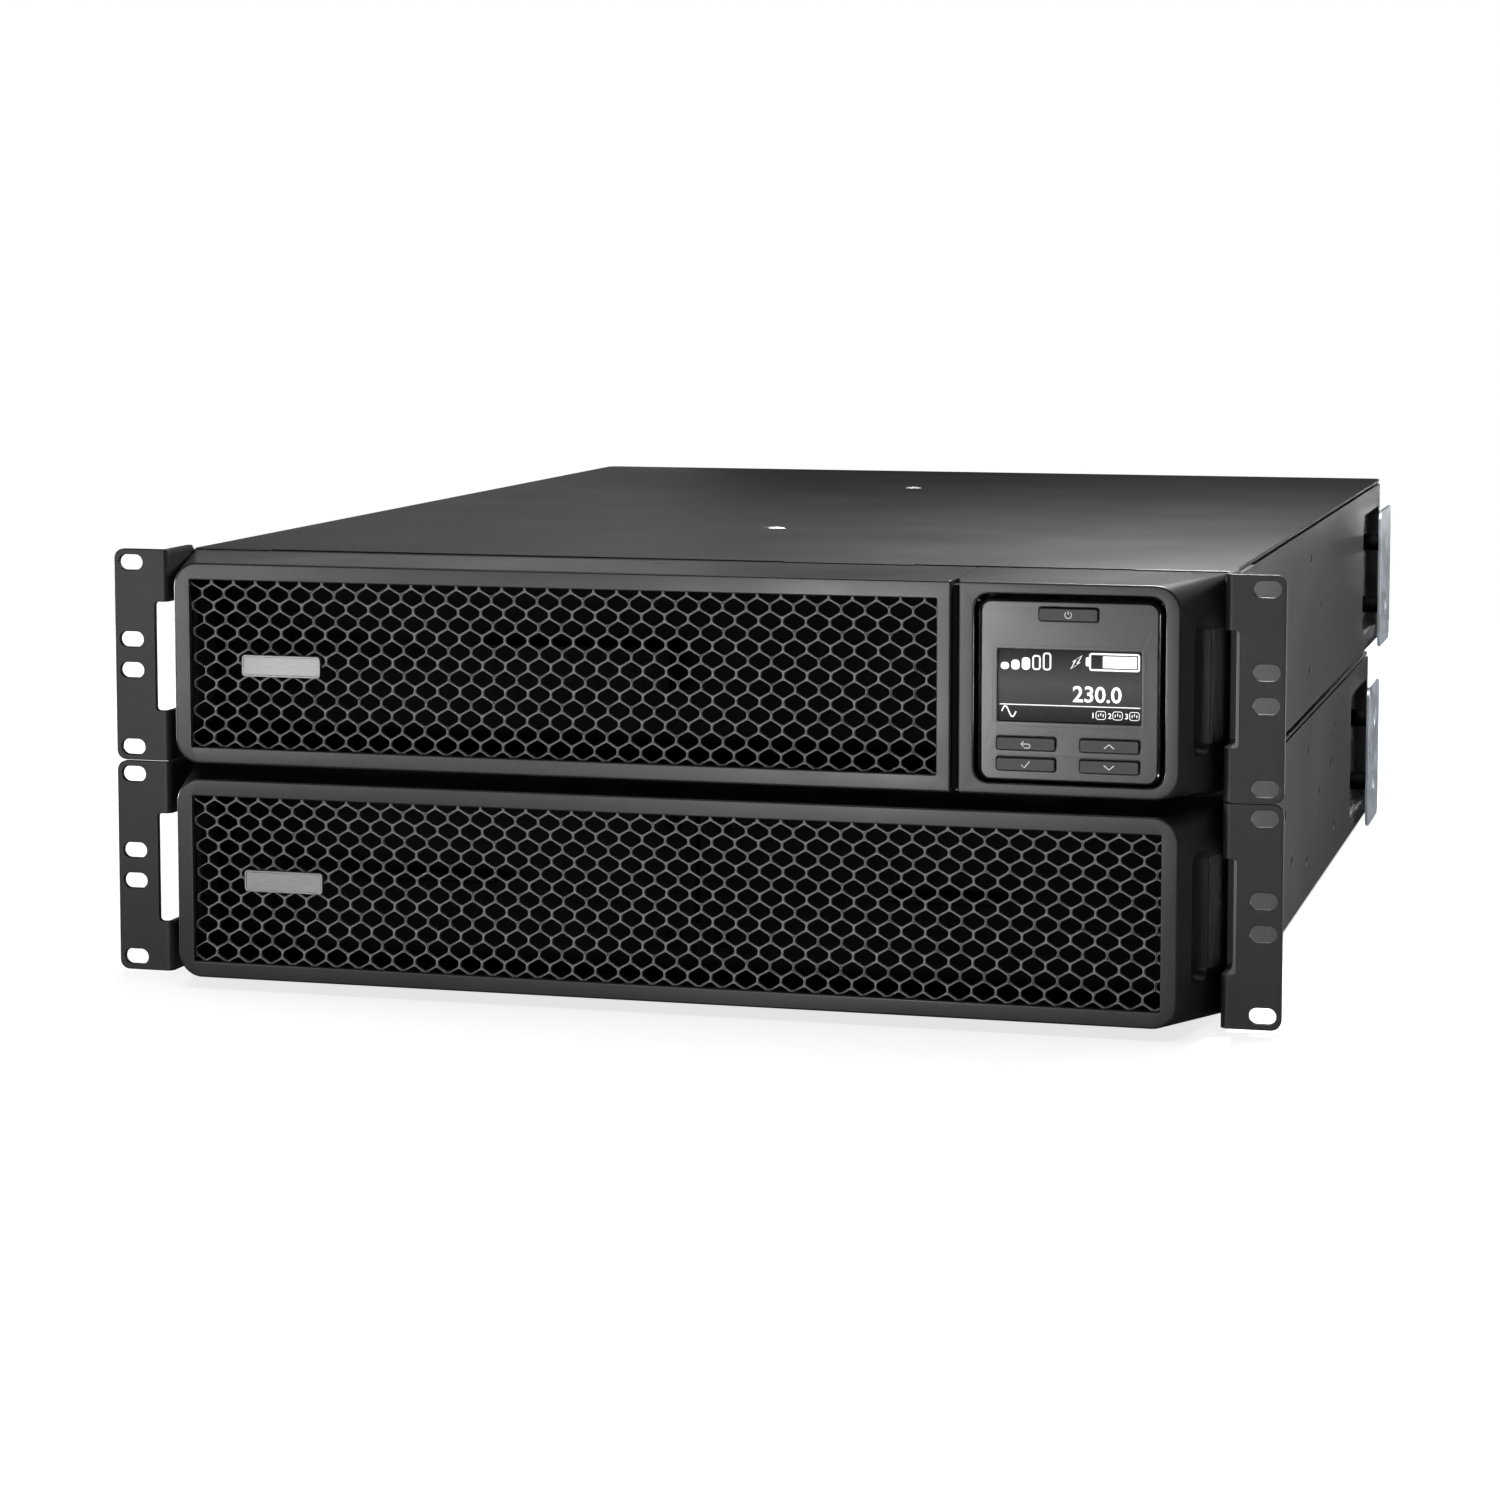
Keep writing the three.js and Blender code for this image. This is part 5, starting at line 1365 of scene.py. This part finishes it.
# The doors behind the grilles are near-black: painted shade seen through the honeycomb.
for node in ("ups_battery_door", "pack_door_left", "pack_door_right"):
    keep(node, "inner_steel", 0.4)
keep("power_board", "board", 0.3)
keep("heat_sink", "aluminium", 0.3)
keep("transformer", "winding", 0.6)


VENT_CAP = [(0, -0.5), (6.5, -0.5), (6.5, 0.7), (5.9, 1.1), (2.0, 1.1), (1.8, 0.7), (0, 0.7)]
CELL_GAP = 0.8
LID_DROP = 2.2  # the lid's top below the terminals' tops


def add_cells(node, body, columns, rows):
    """Sealed batteries side by side, each with a lid, vent caps and two terminals."""
    b = Span(node)
    unit = body.split("_")[0]
    cases, caps, tabs = Shape(), Shape(), Shape()
    wide = (b.x1 - b.x0) / columns
    deep = (b.y1 - b.y0) / rows
    for i in range(columns):
        for j in range(rows):
            x0, y0 = b.x0 + i * wide, b.y0 + j * deep
            x1, y1 = x0 + wide - CELL_GAP, y0 + deep - CELL_GAP
            cases.join(box(x0, x1, y0, y1, b.z0, b.z1 - 4.6, 1.4))
            edge = rounded(x0 + 0.6, x1 - 0.6, y0 + 0.6, y1 - 0.6, 1.5, 4)
            cases.join(plate(edge, (), b.z1 - 4.4, b.z1 - LID_DROP, 0.5))
            for k in range(6):
                u = x0 + wide * (0.22 + 0.56 * (k % 3) / 2)
                v = y0 + deep * (0.4 + 0.25 * (k // 3))
                caps.join(lathe(VENT_CAP, 24).moved(u, v, b.z1 - LID_DROP))
            for u in (x0 + 12, x1 - 12):
                tabs.join(box(u - 3.2, u + 3.2, y0 + 7, y0 + 8, b.z1 - 3, b.z1, 0.2))
    piece(node + "_cases", cases, unit, "battery", body, (node,))
    piece(node + "_caps", caps, unit, "battery", body)
    piece(node + "_tabs", tabs, unit, "contact", body)


add_cells("ups_battery_cells", "ups_battery", 3, 2)
add_cells("pack_cells_left", "pack_battery_left", 2, 3)
add_cells("pack_cells_right", "pack_battery_right", 2, 3)

DOOR_FRONT = 31.0
DOORS = {
    "ups_battery_door": ("ups_door_screws", "ups", "ups_battery"),
    "pack_door_left": ("pack_door_screws_left", "pack", "pack_battery_left"),
    "pack_door_right": ("pack_door_screws_right", "pack", "pack_battery_right"),
}
for node, (name, unit, body) in DOORS.items():
    door = Span(node)
    places = [(x, DOOR_FRONT, z) for x in (door.x0 + 9, door.x1 - 9) for z in (20, 66)]
    # The door screws are near-black: painted shade behind the grilles.
    screws(name, places, "-y", unit, body, 3.4, 1.8, "inner_steel")


# ---------- fans ----------

FAN_Z = 45.0
BLADES = 7
BLADE_INNER, BLADE_OUTER = 12.4, 27.2
BLADE_RINGS = 6
BLADE_CHORD_HALF = 8.6
HUB = [(0, -9.6), (11.6, -9.6), (12.8, -8.6), (13, 8.9), (12.2, 9.6), (0, 9.6)]


def fan_blade(turn):
    """One swept blade from the hub to its tip, in the fan's own frame about y."""
    rings = []
    for k in range(BLADE_RINGS + 1):
        radius = BLADE_INNER + (BLADE_OUTER - BLADE_INNER) * k / BLADE_RINGS
        lean = math.radians(50 - 22 * k / BLADE_RINGS)
        sweep = math.radians(5 * k) + turn
        ring = []
        for s in range(10):
            a = 2 * math.pi * s / 10
            along = BLADE_CHORD_HALF * math.cos(a)
            thick = 0.55 * math.sin(a) + 1.0 * (1 - math.cos(a) ** 2)
            t = along * math.cos(lean) - thick * math.sin(lean)
            y = along * math.sin(lean) + thick * math.cos(lean)
            angle = sweep + t / radius
            ring.append((radius * math.cos(angle), y, radius * math.sin(angle)))
        rings.append(ring)
    return loft(rings, cap_first=True, cap_last=True)


def add_fan(word):
    b = Span("fan_rotor_" + word)
    rotor = pointing(lathe(HUB, 40), "+y")
    for i in range(BLADES):
        rotor.join(fan_blade(2 * math.pi * i / BLADES))
    placed = rotor.moved(Span("fan_frame_" + word).x, (b.y0 + b.y1) / 2, FAN_Z)
    piece("fan_blades_" + word, placed, "ups", "fan", "fan_" + word, ("fan_rotor_" + word,))
    keep("fan_frame_" + word, "fan", 0.4)


for side, word in SIDES:
    add_fan(word)


# ---------- rear walls and fittings ----------

def rear_plate(outline, holes, y_low, y_high, edge=0.3, steps=3):
    """A plate whose finished face looks to the rear."""
    return plate(outline, holes, y_low, y_high, edge, steps).mapped(lambda u, v, t: (u, t, v))


GUARD_RINGS = ((27.5, 20.0), (18.0, 10.0))
GUARD_BAR_HALF = 1.2


def guard_holes(x, z):
    """The openings of a finger guard: two rings, each parted by a cross of bars."""
    holes = []
    for outer, inner in GUARD_RINGS:
        for quarter in range(4):
            loop = []
            for radius, order in ((outer, 1), (inner, -1)):
                start = math.asin(GUARD_BAR_HALF / radius)
                first = quarter * QUARTER + start
                angles = [first + (QUARTER - 2 * start) * k / 14 for k in range(15)][::order]
                loop += [(x + radius * math.cos(a), z + radius * math.sin(a)) for a in angles]
            holes.append(loop)
    return holes


def fitting_hole(node, lip):
    """The opening in the rear wall for a fitting whose flange overlaps it by lip."""
    b = Span(node)
    inward = lip - 0.3
    return rounded(b.x0 + inward, b.x1 - inward, b.z0 + inward, b.z1 - inward, 0.5, 3)


FITTINGS = {
    "ups": {
        "inlet_connector": 1.5,
        "outlet_block": 2,
        "heavy_outlet_block": 2,
        "comm_port_block": 1.5,
        "ups_link_connector": 2,
    },
    "pack": {"pack_link_in": 2, "pack_link_out": 2, "pack_breaker_body": 2},
}
FAN_CENTRES = [Span("fan_frame_" + word).x for side, word in SIDES]
EDGE_SCREWS = {
    "ups": [(-207, 12), (207, 80), (-207, 80), (0, 82.4), (150, 82.4), (-130, 82.4)],
    "pack": [(-207, 12), (207, 12), (207, 78), (-207, 78), (0, 78), (-110, 78)],
}

for unit, fittings in FITTINGS.items():
    rear = REARS[unit]
    holes = [fitting_hole(node, lip) for node, lip in fittings.items()]
    if unit == "ups":
        for x in FAN_CENTRES:
            holes += guard_holes(x, FAN_Z)
        button = Span("breaker_reset_button")
        holes.append(circle(button.x, button.z, 5.3, 28))
    outline = rounded(-HALF_WIDTH, HALF_WIDTH, 1.6, SIDE_TOP, 1.2, 4)
    wall = rear_plate(outline, holes, rear - SHEET, rear, 0.25)
    piece(unit + "_rear_wall", wall, unit, "powder", "chassis", (unit + "_rear_panel",))
    places = [(x, rear, z) for x, z in EDGE_SCREWS[unit]]
    screws(unit + "_rear_screws", places, "+y", unit, "chassis", 3.0, 1.4)

corners = [(dx, dz) for dx in (-25, 25) for dz in (-25, 25)]
fan_screws = [(x + dx, REARS["ups"], FAN_Z + dz) for x in FAN_CENTRES for dx, dz in corners]
screws("fan_screws", fan_screws, "+y", "ups", "chassis", 3.3, 1.5)


def add_flange(node, name, unit, material, holes, radius=1.8):
    """A fitting's flange, 2 mm thick, with its openings."""
    b = Span(node)
    outline = rounded(b.x0, b.x1, b.z0, b.z1, radius, 5)
    flange = rear_plate(outline, holes, b.y1 - 2, b.y1, 0.4)
    piece(name + "_flange", flange, unit, material, "chassis", (node,))


def cup_behind(outline, face, depth):
    """A cup with straight walls behind an opening in a rear face, open to the rear."""
    def ring(inward, y):
        return [(u, y, v) for u, v in inset(outline, inward)]

    rings = [ring(0.5, face - depth - 0.3), ring(0.0, face - depth), ring(0.0, face - 0.4)]
    rings += [ring(-1.2, face - 0.8), ring(-1.2, face - depth - 1.5)]
    return loft(rings, cap_first=True, cap_last=True)


def socket_well(x, z, wide, tall, depth, face, radius=3, chamfer=0.0):
    """The outline of a recess and the cup behind it; chamfer cuts its upper corners."""
    upper = chamfer or radius
    outline = rounded_at(x, z, wide, tall, (upper, upper, radius, radius), 2 if chamfer else 6)
    return outline, cup_behind(outline, face, depth)


# Contacts from the middle of an outlet: across, up, width, height.
SMALL_PINS = [(-7, -1.5, 2.6, 5.4), (7, -1.5, 2.6, 5.4), (0, 2.2, 2.6, 5.4)]
HEAVY_PINS = [(-3.4, -7.5, 7.2, 2.8), (-3.4, 7.5, 7.2, 2.8), (4.2, 0, 7.2, 2.8)]


def add_outlets(node, places, wide, tall, depth, pins, core_gap, chamfer):
    """A flanged block of outlets, each with its island of contacts."""
    face = Span(node).y1
    wells, cups, cores, contacts = [], Shape(), Shape(), Shape()
    upper = max(chamfer - core_gap * 0.4, 0.8) if chamfer else 1.2
    for x, z in places:
        outline, cup = socket_well(x, z, wide, tall, depth, face, 2.5, chamfer)
        wells.append(outline)
        cups.join(cup)
        radii = (upper, upper, 1.2, 1.2)
        island = rounded_at(x, z, wide - 2 * core_gap, tall - 2 * core_gap, radii, 2 if chamfer else 4)
        slots = [rounded_at(x + u, z + v, pin_wide, pin_tall, 0.3, 2) for u, v, pin_wide, pin_tall in pins]
        cores.join(rear_plate(island, slots, face - depth - 0.4, face - 1.2, 0.35))
        for u, v, pin_wide, pin_tall in pins:
            half, high = pin_wide / 4, pin_tall / 2.6
            contacts.join(box(x + u - half, x + u + half, face - depth, face - 4.5,
                              z + v - high, z + v + high, 0.15))
    add_flange(node, node, "ups", "socket", wells)
    piece(node + "_wells", cups, "ups", "inside", "chassis")
    piece(node + "_cores", cores, "ups", "socket", "chassis")
    piece(node + "_contacts", contacts, "ups", "contact", "chassis")


small_outlets = [(x, z) for x in (88, 120) for z in (30, 58)]
heavy_outlets = [(157.5, z) for z in (28, 60)]
add_outlets("outlet_block", small_outlets, 25, 17, 15, SMALL_PINS, 2.2, 4.0)
add_outlets("heavy_outlet_block", heavy_outlets, 22, 27, 18, HEAVY_PINS, 2.4, 0.0)


def add_inlet():
    b = Span("inlet_connector")
    face = b.y1
    outline, cup = socket_well(b.x, b.z, 23, 21, 16, face)
    pins = Shape()
    for u, v in ((-4.2, 4.6), (-4.2, -4.6), (4.6, 0)):
        pin = rounded_at(b.x + u, b.z + v, 7.2, 2, 0.4, 3)
        pins.join(rear_plate(pin, (), face - 16.4, face - 3.0, 0.5))
    add_flange("inlet_connector", "inlet", "ups", "socket", (outline,), 2.2)
    piece("inlet_well", cup, "ups", "inside", "chassis")
    piece("inlet_pins", pins, "ups", "contact", "chassis")


add_inlet()


def add_link(node, unit):
    """A two-pole connector: a grey shell, a dark well and two shrouded contacts."""
    b = Span(node)
    face = b.y1
    wide, tall = b.x1 - b.x0 - 8, b.z1 - b.z0 - 10
    outline, cup = socket_well(b.x, b.z, wide, tall, 14, face)
    towers, pins = Shape(), Shape()
    for x in (b.x - wide / 4, b.x + wide / 4):
        ring = rounded_at(x, b.z, wide / 2.8, tall / 1.5, 1.2, 4)
        towers.join(rear_plate(ring, (inset(ring, 1.0),), face - 14.4, face - 2.2, 0.25))
        pin = rounded_at(x, b.z, 2.4, tall / 2.5, 0.5, 3)
        pins.join(rear_plate(pin, (), face - 14.4, face - 4, 0.4))
    add_flange(node, node, unit, "connector", (outline,))
    piece(node + "_well", cup, unit, "inside", "chassis")
    piece(node + "_towers", towers, unit, "connector", "chassis")
    piece(node + "_pins", pins, unit, "contact", "chassis")


add_link("ups_link_connector", "ups")
add_link("pack_link_in", "pack")
add_link("pack_link_out", "pack")


class Ports:
    """The communication ports; each method adds one to the shapes they share."""

    def __init__(self):
        self.span = Span("comm_port_block")
        self.z = self.span.z
        self.face = self.span.y1
        self.wells = []
        self.cups, self.metal, self.inner = Shape(), Shape(), Shape()

    def well(self, x, wide, tall, depth, radius):
        outline, cup = socket_well(x, self.z, wide, tall, depth, self.face, radius)
        self.wells.append(outline)
        self.cups.join(cup)

    def data_jack(self, x):
        z, face = self.z, self.face
        self.well(x, 12.5, 11, 9, 0.8)
        for i in range(8):
            u = x - 3.6 + i * 7.2 / 7
            self.metal.join(box(u - 0.18, u + 0.18, face - 8, face - 2.5, z + 3.4, z + 4.2, 0.1))

    def host_port(self, x):
        z, face = self.z, self.face
        self.well(x, 9, 8.2, 9, 1.6)
        self.inner.join(box(x - 2.4, x + 2.4, face - 9, face - 1.5, z - 1.6, z + 1.6))

    def serial_port(self, x):
        z, face = self.z, self.face
        shell = [(x - 8.6, z + 4.4), (x - 7.4, z - 4.0), (x + 7.4, z - 4.0), (x + 8.6, z + 4.4)]
        self.wells.append(shell)
        self.metal.join(rear_plate(inset(shell, 0.05), (inset(shell, 0.7),), face - 6, face, 0.15))
        holes = [circle(x - 5.6 + 2.8 * i, z + 1.6, 0.6, 12) for i in range(5)]
        holes += [circle(x - 4.2 + 2.8 * i, z - 1.4, 0.6, 12) for i in range(4)]
        self.inner.join(rear_plate(inset(shell, 0.8), holes, face - 5, face - 0.6, 0.1))
        self.cups.join(box(x - 9.4, x + 9.4, face - 8, face - 5.4, z - 5, z + 5.4))
        nut = [(0, -1), (2.4, -1), (2.4, 0.9), (2.1, 1.2), (1.2, 1.2), (1.1, 0.5), (0, 0.5)]
        for u in (x - 12.4, x + 12.4):
            self.metal.join(pointing(lathe(nut, 6), "+y").moved(u, face - 0.2, z))

    def terminal_strip(self, x):
        z, face = self.z, self.face
        self.well(x, 17, 9, 7, 0.8)
        for i in range(4):
            u = x - 6 + 4 * i
            self.metal.join(pointing(screw(1.3, 0.7), "+y").moved(u, face - 4.0, z + 1.2))
            self.inner.join(box(u - 1.7, u + 1.7, face - 6.8, face - 4, z - 3.8, z + 3.8))


def add_ports():
    ports = Ports()
    left, right = ports.span.x0, ports.span.x1
    for x in (left + 15, left + 34):
        ports.data_jack(x)
    ports.host_port(left + 51)
    ports.serial_port(left + 74)
    ports.terminal_strip(right - 14)
    add_flange("comm_port_block", "comm_port", "ups", "socket", ports.wells)
    piece("comm_port_wells", ports.cups, "ups", "inside", "chassis")
    piece("comm_port_metal", ports.metal, "ups", "contact", "chassis")
    piece("comm_port_inserts", ports.inner, "ups", "connector", "chassis")


add_ports()


KNOB_RINGS = ((2.2, 0.0), (3.1, 0.25), (3.2, 0.6), (3.2, 2.2), (3.0, 2.5))
KNOB_FLUTED = 3.05  # rings wider than this are knurled
KNOB_STEPS = 40


def knurled_knob():
    """A thumbscrew's head standing on y = 0."""
    rings = []
    for radius, y in KNOB_RINGS:
        inner = circle(0, 0, radius - (0.22 if radius > KNOB_FLUTED else 0.0), KNOB_STEPS)
        outer = circle(0, 0, radius, KNOB_STEPS)
        ring = [inner[i] if i % 2 else outer[i] for i in range(KNOB_STEPS)]
        rings.append([(u, y, v) for u, v in ring])
    return loft(rings, cap_first=True, cap_last=True)


def add_card_slot():
    b = Span("card_slot_cover")
    edge = rounded(b.x0, b.x1, b.z0, b.z1, 1.8, 5)
    vents = [rounded_at(b.x - 28.7 + 6 * i, b.z, 2.6, 16, 1.25, 5) for i in range(11)]
    sheet = rear_plate(edge, vents, b.y0, b.y0 + SHEET)
    backing = rear_plate(inset(edge, 4), (), b.y0 - 1.1, b.y0 - 0.1, 0.2)
    piece("card_slot_sheet", sheet, "ups", "powder", "chassis", ("card_slot_cover",))
    piece("card_slot_backing", backing, "ups", "inside", "chassis")
    knobs = Shape()
    for x in (b.x0 + 4, b.x1 - 4):
        knobs.join(knurled_knob().moved(x, b.y0 + SHEET, b.z))
    piece("card_slot_thumbscrews", knobs, "ups", "screw", "chassis", sharp=30)


add_card_slot()


def add_reset_breaker():
    b = Span("breaker_reset_button")
    profile = [(0, b.y0 + 2), (4.8, b.y0 + 2), (4.8, b.y1 - 0.8), (4.5, b.y1 - 0.25), (3.9, b.y1)]
    profile += [(1.8, b.y1 - 0.1), (0, b.y1 - 0.35)]
    button = pointing(lathe(profile, 36), "+y").moved(b.x, 0, b.z)
    piece("breaker_cap", button, "ups", "white", "breaker_reset", ("breaker_reset_button",))
    collar = [(5.2, 0.02), (7.4, 0.02), (7.4, 0.9), (6.9, 1.5), (5.7, 1.5), (5.2, 1.0)]
    rings = [[(u, REARS["ups"] + h, v) for u, v in circle(b.x, b.z, r, 36)] for r, h in collar]
    piece("breaker_collar", loft(rings, closed=True), "ups", "socket", "chassis")


def add_pack_breaker():
    b = Span("pack_breaker_body")
    face = b.y1
    mouth = rounded(b.x - 5.3, b.x + 5.3, 31, 57, 0.8, 3)
    steps = ((0.0, face - 15), (0.0, face - 0.4), (-1.2, face - 0.8), (-1.2, face - 16.3))
    rings = [[(u, y, v) for u, v in inset(mouth, inward)] for inward, y in steps]
    add_flange("pack_breaker_body", "pack_breaker", "pack", "socket", (mouth,))
    well = loft(rings, cap_first=True, cap_last=True)
    piece("pack_breaker_well", well, "pack", "inside", "chassis")
    keep("pack_breaker_lever", "white", 0.5)


add_reset_breaker()
add_pack_breaker()


# ---------- floor, light and camera ----------

FLOOR_RADIUS = 1.3
FLOOR_STEPS = 64
FLOOR_DROP = 0.0002  # keeps the feet from touching it

ground = bpy.data.meshes.new("ground")
edge = [(x, y, 0) for x, y in circle(0, 0, FLOOR_RADIUS, FLOOR_STEPS)]
ground.from_pydata(edge, [], [tuple(range(FLOOR_STEPS))])
ground.materials.append(floor_material())
floor = bpy.data.objects.new("floor", ground)
floor.location.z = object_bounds()[0].z - FLOOR_DROP
floor.visible_glossy = False
bpy.context.scene.collection.objects.link(floor)


def area_light(name, place, target, size, watts):
    data = bpy.data.lights.new(name, "AREA")
    data.shape = "RECTANGLE"
    data.size, data.size_y = size
    data.energy = watts
    obj = bpy.data.objects.new(name, data)
    obj.location = place
    obj.rotation_euler = (Vector(target) - Vector(place)).to_track_quat("-Z", "Y").to_euler()
    obj.visible_camera = False
    bpy.context.scene.collection.objects.link(obj)
    return obj


def all_but(name, endings):
    """A receiver collection that keeps a light off the pieces whose names have these endings."""
    group = bpy.data.collections.new(name)
    for obj in bpy.data.objects:
        if obj.name.endswith(endings):
            group.objects.link(obj)
    for entry in group.collection_objects:
        entry.light_linking.link_state = "EXCLUDE"
    return group


LIGHTS = {  # place, target, size in metres, then watts
    "face_right": ((-0.10, -1.12, 0.042), (0.11, -0.32, 0.12), (0.12, 0.06), 1.35),
    "face_left": ((-0.587, -1.12, 0.094), (-0.2, -0.32, 0.14), (0.16, 0.09), 1.1),
    "face_middle": ((-0.355, -1.12, 0.034), (-0.1, -0.32, 0.1), (0.16, 0.05), 0.22),
    "ear_right": ((0.13, -1.12, 0.026), (0.22, -0.3, 0.05), (0.12, 0.04), 0.16),
    "overhead": ((0.0, 0.0, 1.9), (0, 0, 0.17), (1.6, 1.6), 13.0),
    "cover_spot": ((0.2, -0.06, 0.52), (0.19, -0.08, 0.17), (0.16, 0.16), 6.6),
    "behind_left": ((-1.0, 2.2, 0.5), (-0.1, 0, 0.17), (0.6, 0.3), 0.4),
    "behind": ((-0.15, 2.6, 0.6), (0, 0, 0.17), (0.5, 0.3), 0.04),
    "side_rear": ((1.6, 1.1, 0.14), (0.2, 0.1, 0.06), (0.6, 0.2), 10.0),
    "side_front": ((0.62, 0.0, 0.05), (0.24, -0.16, 0.04), (0.3, 0.08), 1.1),
    "rear_low": ((-0.3, 1.7, 0.1), (0.0, 0.3, 0.08), (1.2, 0.14), 16.0),
    "left_low": ((-1.6, 0.1, 0.1), (-0.2, 0.0, 0.08), (1.2, 0.14), 16.0),
}
AMBIENT = 0.02

# The bezels' ends, the dishes in the sides and the brackets' posts lie in shade.
BEZEL_PIECES = ("bezel_shell", "_catch_plates")
DISH_PIECES = ("_dish_left", "_dish_right", "_posts")
floor.light_linking.receiver_collection = all_but("kept_from_floor_glow", BEZEL_PIECES)
side_lit = all_but("kept_from_side_light", BEZEL_PIECES + DISH_PIECES)
for name, (place, target, extent, watts) in LIGHTS.items():
    light = area_light(name, place, target, extent, watts)
    if name.startswith("side"):
        light.light_linking.receiver_collection = side_lit

# The world is white to the camera and nearly dark to the object.
world = bpy.data.worlds.new("studio")
bpy.context.scene.world = world
world.use_nodes = True
tree = world.node_tree
seen, lit = tree.nodes["Background"], tree.nodes.new("ShaderNodeBackground")
seen.inputs["Color"].default_value = (1, 1, 1, 1)
lit.inputs["Color"].default_value = (0.97, 0.98, 1.0, 1)
lit.inputs["Strength"].default_value = AMBIENT
choose = tree.nodes.new("ShaderNodeMixShader")
tree.links.new(tree.nodes.new("ShaderNodeLightPath").outputs["Is Camera Ray"], choose.inputs[0])
tree.links.new(lit.outputs[0], choose.inputs[1])
tree.links.new(seen.outputs[0], choose.inputs[2])
tree.links.new(choose.outputs[0], tree.nodes["World Output"].inputs["Surface"])
bpy.context.scene.view_settings.view_transform = "Standard"

CAMERA_PLACE = (0.406071, -1.696466, 0.300993)
CAMERA_PITCH, CAMERA_TURN = 84.5, 15.027
CAMERA_LENS = 89.26
CAMERA_RISE = -0.1

camera_data = bpy.data.cameras.new("camera")
camera_data.lens = CAMERA_LENS
camera_data.sensor_width = 36.0
camera_data.shift_y = CAMERA_RISE
camera = bpy.data.objects.new("camera", camera_data)
camera.location = CAMERA_PLACE
camera.rotation_euler = (math.radians(CAMERA_PITCH), 0.0, math.radians(CAMERA_TURN))
bpy.context.scene.collection.objects.link(camera)
bpy.context.scene.camera = camera
